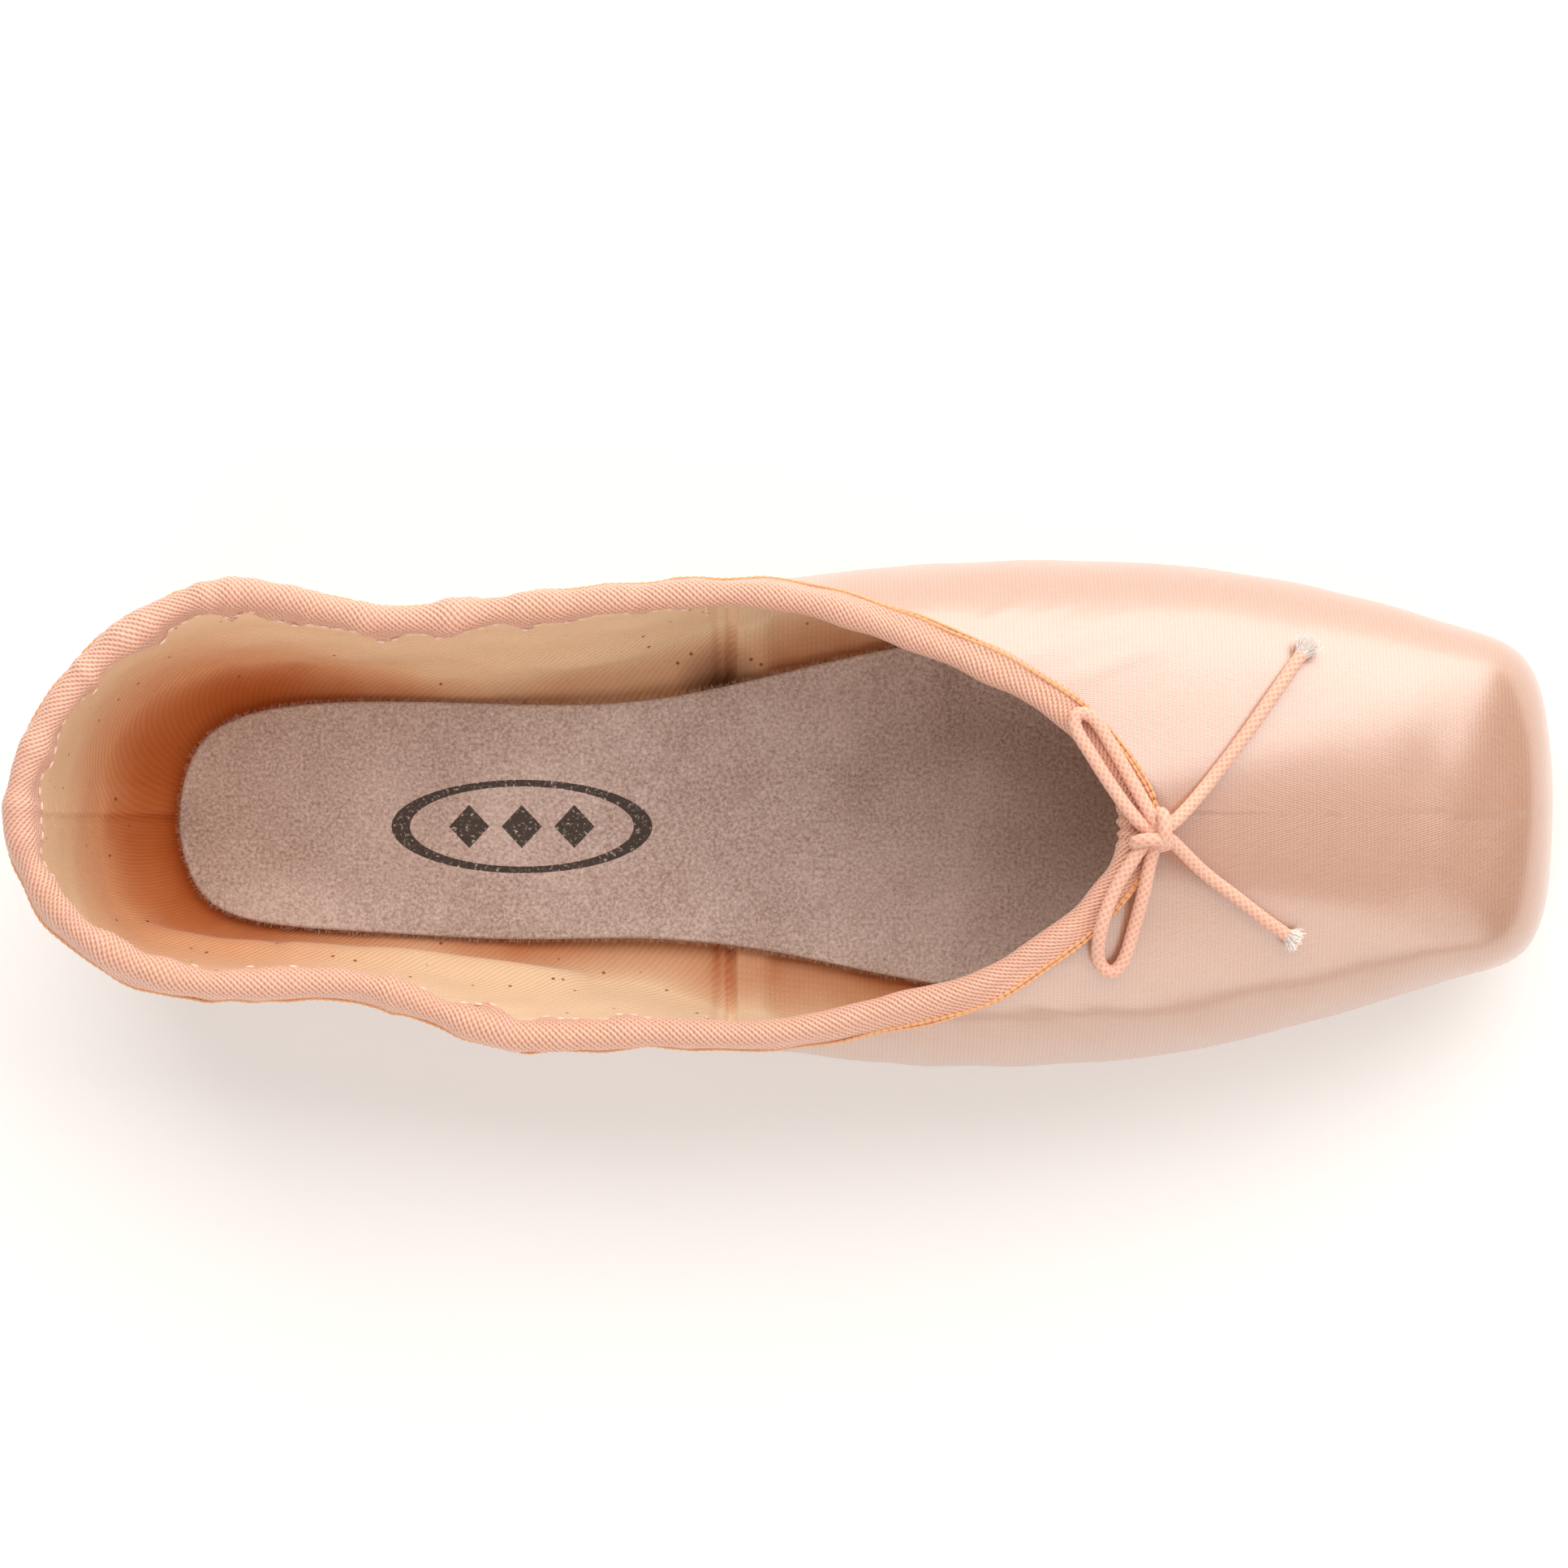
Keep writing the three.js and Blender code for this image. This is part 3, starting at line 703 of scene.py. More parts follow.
@dataclass(frozen=True)
class TwillTape(Finish):
    """Cotton twill tape: slanted ribs two thirds of a millimetre apart, a low sheen, pinker than the satin."""

    groove: str = "#c27a5d"
    rib: str = "#f9c2a7"
    pitch: float = 0.66

    def dress(self, tree: bpy.types.NodeTree, shader: bpy.types.Node) -> None:
        """Sets the shader up.

        Args:
            tree: The material's nodes.
            shader: The Principled shader in it.
        """
        uv = add_node(tree, "ShaderNodeUVMap", uv_map="cloth").outputs["UV"]
        ribs = add_node(
            tree,
            "ShaderNodeTexWave",
            {
                "Vector": uv,
                "Scale": 2 * WAVE_STEP / (SLANT * self.pitch),
                "Distortion": 0.9,
                "Detail": 2.0,
                "Detail Scale": 1.2,
            },
            bands_direction="DIAGONAL",
        ).outputs["Fac"]
        yarns = add_node(
            tree,
            "ShaderNodeTexWave",
            {"Vector": uv, "Scale": WAVE_STEP / 0.5, "Distortion": 1.0, "Detail": 1.0},
            bands_direction="X",
        ).outputs["Fac"]
        fuzz = add_node(tree, "ShaderNodeTexNoise", {"Vector": uv, "Scale": 2.2, "Detail": 4.0}).outputs["Fac"]
        height = add_node(tree, "ShaderNodeMath", {0: yarns, 1: 0.35, 2: ribs}, operation="MULTIPLY_ADD").outputs[0]
        mixed = add_node(tree, "ShaderNodeMath", {0: fuzz, 1: 0.7, 2: height}, operation="MULTIPLY_ADD").outputs[0]
        shade = add_node(tree, "ShaderNodeMapRange", {"Value": mixed, "From Min": 0.25, "From Max": 1.2}).outputs[0]
        colour = add_node(
            tree,
            "ShaderNodeMix",
            {"Factor": shade, "A": linear(self.groove), "B": linear(self.rib)},
            data_type="RGBA",
        )
        tree.links.new(colour.outputs["Result"], shader.inputs["Base Color"])
        bump = add_node(tree, "ShaderNodeBump", {"Height": height, "Strength": 0.7, "Distance": 0.0003})
        tree.links.new(bump.outputs["Normal"], shader.inputs["Normal"])
        shader.inputs["Roughness"].default_value = 0.55
        shader.inputs["Specular IOR Level"].default_value = 0.7
        shader.inputs["Sheen Weight"].default_value = 0.35
        shader.inputs["Sheen Roughness"].default_value = 0.5


class Weave(Enum):
    """How the lining cloth is woven."""

    TWILL = "DIAGONAL"
    PLAIN = "Y"


@dataclass(frozen=True)
class LiningCloth(Finish):
    """Unbleached cotton lining with flecks of husk, and a painted orange glow where it curves to the sole.

    A painted glow, standing in for light coming through the cloth, turns it deep orange within about a
    centimetre of the sole, more so at the heel, and it is darker in a ragged patch at the foot of its
    left side seam.
    """

    weave: Weave = Weave.TWILL
    # Painted glow colours: deep low on the wall and foot in a band along the sole stand in for light through the
    # cloth.
    deep: str = "#e8965c"
    light: str = "#f5d6b2"
    foot: str = "#bb6228"
    husk: str = "#8a5a35"
    # The colour of a ragged darker patch at the foot of the left side seam.
    seam_foot_dark: str = "#5d4029"
    pitch: float = 0.75

    def dress(self, tree: bpy.types.NodeTree, shader: bpy.types.Node) -> None:
        """Sets the shader up.

        Args:
            tree: The material's nodes.
            shader: The Principled shader in it.
        """
        uv = add_node(tree, "ShaderNodeUVMap", uv_map="cloth").outputs["UV"]
        place = add_node(tree, "ShaderNodeTexCoord").outputs["Object"]
        diagonal = 2 * WAVE_STEP / (SLANT * self.pitch)
        straight = WAVE_STEP / self.pitch
        ribs = add_node(
            tree,
            "ShaderNodeTexWave",
            {
                "Vector": uv,
                "Scale": diagonal if self.weave is Weave.TWILL else straight,
                "Distortion": 0.7,
                "Detail": 2.0,
            },
            bands_direction=self.weave.value,
        ).outputs["Fac"]
        cross = add_node(
            tree,
            "ShaderNodeTexWave",
            {"Vector": uv, "Scale": straight, "Distortion": 0.9, "Detail": 2.0},
            bands_direction="X",
        ).outputs["Fac"]
        lines = 0.25 if self.weave is Weave.TWILL else 0.9
        picks = add_node(
            tree, "ShaderNodeMath", {0: cross, 1: lines, 2: 1 - lines}, operation="MULTIPLY_ADD"
        ).outputs[0]
        cloth = add_node(tree, "ShaderNodeMath", {0: ribs, 1: picks}, operation="MULTIPLY").outputs[0]
        axes = add_node(tree, "ShaderNodeSeparateXYZ", {"Vector": place}).outputs
        height = axes["Z"]
        lining_noise = add_node(tree, "ShaderNodeTexNoise", {"Vector": place, "Scale": 34.0, "Detail": 4.0}).outputs["Fac"]
        # Painted glow: the colour runs from light to deep orange lower down and towards the heel, standing in for
        # light coming through the cloth.
        forward = add_node(
            tree,
            "ShaderNodeMapRange",
            {"Value": axes["X"], "From Min": -0.085, "From Max": -0.03, "To Min": -0.008, "To Max": 0.012},
        ).outputs[0]
        paler = add_node(tree, "ShaderNodeMath", {0: height, 1: forward}, operation="ADD").outputs[0]
        wander = add_node(
            tree, "ShaderNodeMath", {0: lining_noise, 1: 0.02, 2: paler}, operation="MULTIPLY_ADD"
        ).outputs[0]
        lift = add_node(
            tree, "ShaderNodeMapRange", {"Value": wander, "From Min": 0.003, "From Max": 0.027}
        ).outputs[0]
        colour = add_node(
            tree,
            "ShaderNodeMix",
            {"Factor": lift, "A": linear(self.deep), "B": linear(self.light)},
            data_type="RGBA",
        ).outputs["Result"]
        # Painted glow: a band of the foot colour within about a centimetre of the sole, with a ragged top.
        painted_glow_height = add_node(
            tree, "ShaderNodeMath", {0: lining_noise, 1: 0.006, 2: height}, operation="MULTIPLY_ADD"
        ).outputs[0]
        clear = add_node(
            tree, "ShaderNodeMapRange", {"Value": painted_glow_height, "From Min": 0.0075, "From Max": 0.0125}
        ).outputs[0]
        painted_glow_colour = add_node(
            tree, "ShaderNodeMix", {"Factor": clear, "A": linear(self.foot), "B": colour}, data_type="RGBA"
        ).outputs["Result"]
        gaps = add_node(
            tree, "ShaderNodeMapRange", {"Value": cloth, "To Min": 0.91, "To Max": 1.03}
        ).outputs[0]
        woven = add_node(
            tree,
            "ShaderNodeMix",
            {"Factor": 1.0, "A": painted_glow_colour, "B": gaps},
            data_type="RGBA",
            blend_type="MULTIPLY",
        ).outputs["Result"]
        fleck = add_node(
            tree, "ShaderNodeTexVoronoi", {"Vector": place, "Scale": 260.0, "Randomness": 1.0}
        ).outputs["Distance"]
        between = add_node(
            tree, "ShaderNodeMapRange", {"Value": fleck, "From Min": 0.05, "From Max": 0.09}
        ).outputs[0]
        flecked = add_node(
            tree,
            "ShaderNodeMix",
            {"Factor": between, "A": linear(self.husk), "B": woven},
            data_type="RGBA",
        ).outputs["Result"]
        # A ragged darker patch at the foot of the left side seam, mixed in by distance from one point.
        near_foot = add_node(
            tree, "ShaderNodeVectorMath", {0: place, 1: (-0.0107, 0.0190, 0.0065)}, operation="DISTANCE"
        ).outputs["Value"]
        ragged = add_node(
            tree, "ShaderNodeMath", {0: lining_noise, 1: -0.008, 2: near_foot}, operation="MULTIPLY_ADD"
        ).outputs[0]
        dark_patch_share = add_node(
            tree,
            "ShaderNodeMapRange",
            {"Value": ragged, "From Min": -0.003, "From Max": 0.003, "To Min": 0.85, "To Max": 0.0},
        ).outputs[0]
        patch_darkened = add_node(
            tree,
            "ShaderNodeMix",
            {"Factor": dark_patch_share, "A": flecked, "B": linear(self.seam_foot_dark)},
            data_type="RGBA",
        ).outputs["Result"]
        tree.links.new(patch_darkened, shader.inputs["Base Color"])
        bump = add_node(tree, "ShaderNodeBump", {"Height": cloth, "Strength": 0.5, "Distance": 0.00025})
        tree.links.new(bump.outputs["Normal"], shader.inputs["Normal"])
        shader.inputs["Roughness"].default_value = 0.85
        shader.inputs["Specular IOR Level"].default_value = 0.25
        shader.inputs["Sheen Weight"].default_value = 0.2


@dataclass(frozen=True)
class Suede(Finish):
    """Brushed split leather: short nap in grey-mauve clumps, darker between them, with no shine."""

    pit: str = "#a08579"
    nap: str = "#e4d4cf"
    ink: str = "#1c170f"

    def dress(self, tree: bpy.types.NodeTree, shader: bpy.types.Node) -> None:
        """Sets the shader up, with a small printed oval of generic ornament near the heel.

        Args:
            tree: The material's nodes.
            shader: The Principled shader in it.
        """
        place = add_node(tree, "ShaderNodeTexCoord").outputs["Object"]
        clumps = add_node(
            tree, "ShaderNodeTexNoise", {"Vector": place, "Scale": 1900.0, "Detail": 4.0, "Roughness": 0.75}
        ).outputs["Fac"]
        broad = add_node(tree, "ShaderNodeTexNoise", {"Vector": place, "Scale": 60.0, "Detail": 3.0}).outputs["Fac"]
        both = add_node(tree, "ShaderNodeMath", {0: broad, 1: 0.35, 2: clumps}, operation="MULTIPLY_ADD").outputs[0]
        shade = add_node(tree, "ShaderNodeMapRange", {"Value": both, "From Min": 0.5, "From Max": 0.85}).outputs[0]
        colour = add_node(
            tree,
            "ShaderNodeMix",
            {"Factor": shade, "A": linear(self.pit), "B": linear(self.nap)},
            data_type="RGBA",
        ).outputs["Result"]
        mask = self.print_mask(tree, place, clumps)
        printed = add_node(
            tree,
            "ShaderNodeMix",
            {"Factor": mask, "A": colour, "B": linear(self.ink)},
            data_type="RGBA",
        ).outputs["Result"]
        tree.links.new(printed, shader.inputs["Base Color"])
        bump = add_node(tree, "ShaderNodeBump", {"Height": clumps, "Strength": 0.8, "Distance": 0.0004})
        tree.links.new(bump.outputs["Normal"], shader.inputs["Normal"])
        shader.inputs["Roughness"].default_value = 0.95
        shader.inputs["Specular IOR Level"].default_value = 0.1
        shader.inputs["Sheen Weight"].default_value = 0.4
        shader.inputs["Sheen Roughness"].default_value = 0.6

    def print_mask(
        self, tree: bpy.types.NodeTree, place: bpy.types.NodeSocket, clumps: bpy.types.NodeSocket
    ) -> bpy.types.NodeSocket:
        """Draws an oval ring round a row of three lozenges.

        Args:
            tree: The material's nodes.
            place: Object coordinates.
            clumps: The nap, which breaks the ink up.

        Returns:
            A socket that is 1 where there is ink.
        """
        moved = add_node(
            tree,
            "ShaderNodeMapping",
            {"Vector": place, "Location": (2.05, 0.3, 0.0), "Scale": (50.0, 140.0, 0.0)},
        ).outputs["Vector"]
        radius = add_node(tree, "ShaderNodeVectorMath", {0: moved}, operation="LENGTH").outputs["Value"]
        off_ring = add_node(tree, "ShaderNodeMath", {0: radius, 1: 0.92, 2: 0.07}, operation="COMPARE").outputs[0]
        spread = add_node(tree, "ShaderNodeVectorMath", {0: moved}, operation="ABSOLUTE").outputs["Vector"]
        parts = add_node(tree, "ShaderNodeSeparateXYZ", {"Vector": spread})
        cell = add_node(tree, "ShaderNodeMath", {0: parts.outputs["X"], 1: 0.2}, operation="PINGPONG").outputs[0]
        shift = add_node(
            tree, "ShaderNodeMath", {0: cell, 1: 3.0, 2: parts.outputs["Y"]}, operation="MULTIPLY_ADD"
        ).outputs[0]
        lozenge = add_node(tree, "ShaderNodeMath", {0: shift, 1: 0.46}, operation="LESS_THAN").outputs[0]
        near = add_node(tree, "ShaderNodeMath", {0: parts.outputs["X"], 1: 0.6}, operation="LESS_THAN").outputs[0]
        inner = add_node(tree, "ShaderNodeMath", {0: lozenge, 1: near}, operation="MULTIPLY").outputs[0]
        whole = add_node(tree, "ShaderNodeMath", {0: off_ring, 1: inner}, operation="MAXIMUM").outputs[0]
        patchy = add_node(
            tree, "ShaderNodeMapRange", {"Value": clumps, "From Min": 0.66, "From Max": 0.58, "To Max": 0.92}
        ).outputs[0]
        return add_node(tree, "ShaderNodeMath", {0: whole, 1: patchy}, operation="MULTIPLY").outputs[0]


@dataclass(frozen=True)
class SoleLeather(Finish):
    """Vegetable-tanned sole leather, buffed on the tread, with fine pores and scuffs."""

    deep: str = "#a97d55"
    light: str = "#d3ac83"

    def dress(self, tree: bpy.types.NodeTree, shader: bpy.types.Node) -> None:
        """Sets the shader up.

        Args:
            tree: The material's nodes.
            shader: The Principled shader in it.
        """
        place = add_node(tree, "ShaderNodeTexCoord").outputs["Object"]
        pores = add_node(
            tree, "ShaderNodeTexVoronoi", {"Vector": place, "Scale": 900.0}, feature="DISTANCE_TO_EDGE"
        ).outputs["Distance"]
        stretched = add_node(
            tree, "ShaderNodeMapping", {"Vector": place, "Scale": (1.0, 6.0, 1.0)}
        ).outputs["Vector"]
        scuffs = add_node(
            tree, "ShaderNodeTexNoise", {"Vector": stretched, "Scale": 55.0, "Detail": 6.0, "Roughness": 0.65}
        ).outputs["Fac"]
        colour = add_node(
            tree,
            "ShaderNodeMix",
            {"Factor": scuffs, "A": linear(self.deep), "B": linear(self.light)},
            data_type="RGBA",
        ).outputs["Result"]
        tree.links.new(colour, shader.inputs["Base Color"])
        rough = add_node(tree, "ShaderNodeMapRange", {"Value": scuffs, "To Min": 0.5, "To Max": 0.75}).outputs[0]
        tree.links.new(rough, shader.inputs["Roughness"])
        bump = add_node(tree, "ShaderNodeBump", {"Height": pores, "Strength": 0.35, "Distance": 0.0002})
        tree.links.new(bump.outputs["Normal"], shader.inputs["Normal"])


@dataclass(frozen=True)
class CottonThread(Finish):
    """Spun cotton: matt and slightly fuzzy, with painted shade in the hollows between its strands."""

    # The painted shade colour in the hollows between strands, and the lit strand colour.
    hollow_shade: str = "#dfa58b"
    strand: str = "#f1c3ad"

    def dress(self, tree: bpy.types.NodeTree, shader: bpy.types.Node) -> None:
        """Sets the shader up.

        Args:
            tree: The material's nodes.
            shader: The Principled shader in it.
        """
        place = add_node(tree, "ShaderNodeTexCoord").outputs["Object"]
        # Painted shade: the colour darkens towards the hollow colour where the braid lies deep between its strands.
        depth = add_node(tree, "ShaderNodeAttribute", attribute_name="hollow_shade").outputs["Fac"]
        fuzz = add_node(
            tree, "ShaderNodeTexNoise", {"Vector": place, "Scale": 2600.0, "Detail": 3.0}
        ).outputs["Fac"]
        shade = add_node(tree, "ShaderNodeMath", {0: fuzz, 1: 0.5, 2: depth}, operation="MULTIPLY_ADD").outputs[0]
        blend = add_node(
            tree, "ShaderNodeMapRange", {"Value": shade, "From Min": 0.2, "From Max": 1.2}
        ).outputs[0]
        colour = add_node(
            tree,
            "ShaderNodeMix",
            {"Factor": blend, "A": linear(self.strand), "B": linear(self.hollow_shade)},
            data_type="RGBA",
        ).outputs["Result"]
        tree.links.new(colour, shader.inputs["Base Color"])
        bump = add_node(tree, "ShaderNodeBump", {"Height": fuzz, "Strength": 0.4, "Distance": 0.00012})
        tree.links.new(bump.outputs["Normal"], shader.inputs["Normal"])
        shader.inputs["Roughness"].default_value = 0.85
        shader.inputs["Specular IOR Level"].default_value = 0.25
        shader.inputs["Sheen Weight"].default_value = 0.3


@dataclass(frozen=True)
class PaperFloor(Finish):
    """Matt white background paper."""

    white: str = "#efeeec"

    def dress(self, tree: bpy.types.NodeTree, shader: bpy.types.Node) -> None:
        """Sets the shader up.

        Args:
            tree: The material's nodes.
            shader: The Principled shader in it.
        """
        place = add_node(tree, "ShaderNodeTexCoord").outputs["Object"]
        fibre = add_node(tree, "ShaderNodeTexNoise", {"Vector": place, "Scale": 900.0}).outputs["Fac"]
        bump = add_node(tree, "ShaderNodeBump", {"Height": fibre, "Strength": 0.05, "Distance": 0.0001})
        tree.links.new(bump.outputs["Normal"], shader.inputs["Normal"])
        shader.inputs["Base Color"].default_value = linear(self.white)
        shader.inputs["Roughness"].default_value = 0.9
        shader.inputs["Specular IOR Level"].default_value = 0.1
        shader.inputs["Emission Color"].default_value = linear(self.white)
        shader.inputs["Emission Strength"].default_value = 0.18


# ---------------------------------------------------------------- what repeats


@dataclass
class NodeRecipe:
    """A Geometry Nodes tree with named number inputs, run once on a guide mesh."""

    tree: bpy.types.NodeTree = field(init=False)
    guide: bpy.types.Node = field(init=False)

    title: ClassVar[str] = "recipe"
    numbers: ClassVar[tuple[str, ...]] = ()

    def __post_init__(self) -> None:
        """Makes the tree's inputs and output, then its nodes."""
        self.tree = bpy.data.node_groups.new(self.title, "GeometryNodeTree")
        self.tree.interface.new_socket("Guide", in_out="INPUT", socket_type="NodeSocketGeometry")
        for name in self.numbers:
            self.tree.interface.new_socket(name, in_out="INPUT", socket_type="NodeSocketFloat")
        self.tree.interface.new_socket("Seed", in_out="INPUT", socket_type="NodeSocketInt")
        self.tree.interface.new_socket("Material", in_out="INPUT", socket_type="NodeSocketMaterial")
        self.tree.interface.new_socket("Geometry", in_out="OUTPUT", socket_type="NodeSocketGeometry")
        self.guide = add_node(self.tree, "NodeGroupInput")
        instances = self.grow()
        real = add_node(self.tree, "GeometryNodeRealizeInstances", {"Geometry": instances}).outputs[0]
        smooth = add_node(self.tree, "GeometryNodeSetShadeSmooth", {"Geometry": real}).outputs[0]
        dressed = add_node(
            self.tree, "GeometryNodeSetMaterial", {"Geometry": smooth, "Material": self.guide.outputs["Material"]}
        ).outputs[0]
        add_node(self.tree, "NodeGroupOutput", {"Geometry": dressed})

    def grow(self) -> bpy.types.NodeSocket:
        """Adds the recipe's own nodes and returns its instances."""
        raise NotImplementedError

    def run(
        self, name: str, guide: bpy.types.Mesh, material: bpy.types.Material, **values: float
    ) -> bpy.types.Object:
        """Runs the tree on a guide mesh.

        Args:
            name: The new piece's name.
            guide: The mesh that the instances follow.
            material: The piece's finish.
            **values: A value for each named input, with _ for each space.

        Returns:
            A plain mesh object with no modifier.
        """
        piece = bpy.data.objects.new(name, guide)
        bpy.context.scene.collection.objects.link(piece)
        modifier = piece.modifiers.new(self.title, "NODES")
        modifier.node_group = self.tree
        given = {key.replace("_", " "): value for key, value in values.items()} | {"Material": material}
        for item in self.tree.interface.items_tree:
            if item.in_out == "INPUT" and item.name in given:
                modifier[item.identifier] = given[item.name]
        bpy.context.view_layer.update()
        result = bpy.data.meshes.new_from_object(piece.evaluated_get(bpy.context.evaluated_depsgraph_get()))
        piece.modifiers.remove(modifier)
        piece.data = result
        result.name = name
        return piece


class StitchRecipe(NodeRecipe):
    """Short rounded stitches laid end to end along a line."""

    title = "stitch row"
    numbers = ("Spacing", "Length", "Thickness")

    def grow(self) -> bpy.types.NodeSocket:
        """Adds the recipe's own nodes and returns its instances.

        Returns:
            The instances.
        """
        pins = self.guide.outputs
        curve = add_node(self.tree, "GeometryNodeMeshToCurve", {"Mesh": pins["Guide"]}).outputs[0]
        places = add_node(
            self.tree, "GeometryNodeResampleCurve", {"Curve": curve, "Length": pins["Spacing"]}, mode="LENGTH"
        ).outputs[0]
        tangent = add_node(self.tree, "GeometryNodeInputTangent").outputs[0]
        along = add_node(
            self.tree, "FunctionNodeAlignRotationToVector", {"Vector": tangent}, axis="X"
        ).outputs["Rotation"]
        ball = add_node(self.tree, "GeometryNodeMeshUVSphere", {"Segments": 7, "Rings": 5, "Radius": 0.5})
        size = add_node(
            self.tree,
            "ShaderNodeCombineXYZ",
            {"X": pins["Length"], "Y": pins["Thickness"], "Z": pins["Thickness"]},
        ).outputs[0]
        stitch = add_node(
            self.tree, "GeometryNodeTransform", {"Geometry": ball.outputs["Mesh"], "Scale": size}
        ).outputs[0]
        return add_node(
            self.tree,
            "GeometryNodeInstanceOnPoints",
            {"Points": places, "Instance": stitch, "Rotation": along},
        ).outputs["Instances"]


class FibreRecipe(NodeRecipe):
    """Loose bent fibres that stand on a surface, for fraying and nap."""

    title = "loose fibres"
    numbers = ("Density", "Length", "Thickness", "Spread")

    def grow(self) -> bpy.types.NodeSocket:
        """Adds the recipe's own nodes and returns its instances.

        Returns:
            The instances.
        """
        pins = self.guide.outputs
        roots = add_node(
            self.tree,
            "GeometryNodeDistributePointsOnFaces",
            {"Mesh": pins["Guide"], "Density": pins["Density"], "Seed": pins["Seed"]},
        )
        arc = add_node(
            self.tree,
            "GeometryNodeCurveQuadraticBezier",
            {"Resolution": 5, "Start": (0, 0, 0), "Middle": (0.1, 0, 0.55), "End": (0.38, 0.1, 1.0)},
        ).outputs[0]
        tip = add_node(
            self.tree, "GeometryNodeCurvePrimitiveCircle", {"Resolution": 3, "Radius": 0.5}, mode="RADIUS"
        ).outputs[0]
        thick = add_node(
            self.tree, "ShaderNodeMath", {0: pins["Thickness"], 1: pins["Length"]}, operation="DIVIDE"
        ).outputs[0]
        fibre = add_node(
            self.tree,
            "GeometryNodeCurveToMesh",
            {"Curve": arc, "Profile Curve": tip, "Scale": thick, "Fill Caps": True},
        )
        turn = add_node(
            self.tree,
            "FunctionNodeRandomValue",
            {"Min": (-1, -1, -math.pi), "Max": (1, 1, math.pi), "Seed": pins["Seed"]},
            data_type="FLOAT_VECTOR",
        ).outputs[0]
        lean = add_node(
            self.tree, "ShaderNodeCombineXYZ", {"X": pins["Spread"], "Y": pins["Spread"], "Z": 1.0}
        ).outputs[0]
        tilt = add_node(self.tree, "ShaderNodeVectorMath", {0: turn, 1: lean}, operation="MULTIPLY").outputs[0]
        stand = add_node(
            self.tree,
            "FunctionNodeRotateRotation",
            {"Rotation": roots.outputs["Rotation"], "Rotate By": tilt},
            rotation_space="LOCAL",
        ).outputs[0]
        size = add_node(
            self.tree, "FunctionNodeRandomValue", {2: 0.55, 3: 1.0, "Seed": pins["Seed"]}, data_type="FLOAT"
        ).outputs[1]
        scale = add_node(self.tree, "ShaderNodeMath", {0: size, 1: pins["Length"]}, operation="MULTIPLY").outputs[0]
        return add_node(
            self.tree,
            "GeometryNodeInstanceOnPoints",
            {
                "Points": roots.outputs["Points"],
                "Instance": fibre.outputs[0],
                "Rotation": stand,
                "Scale": scale,
            },
        ).outputs["Instances"]


def line_mesh(name: str, points: np.ndarray, closed: bool = False) -> bpy.types.Mesh:
    """Makes a mesh of edges along points in millimetres.

    Args:
        name: The mesh's name.
        points: The line's points.
        closed: Whether the last point joins the first.

    Returns:
        The mesh.
    """
    mesh = bpy.data.meshes.new(name)
    edges = [(k, k + 1) for k in range(len(points) - 1)]
    if closed:
        edges.append((len(points) - 1, 0))
    mesh.from_pydata((points * MM).tolist(), edges, [])
    return mesh


# ---------------------------------------------------------------- the upper and its lining


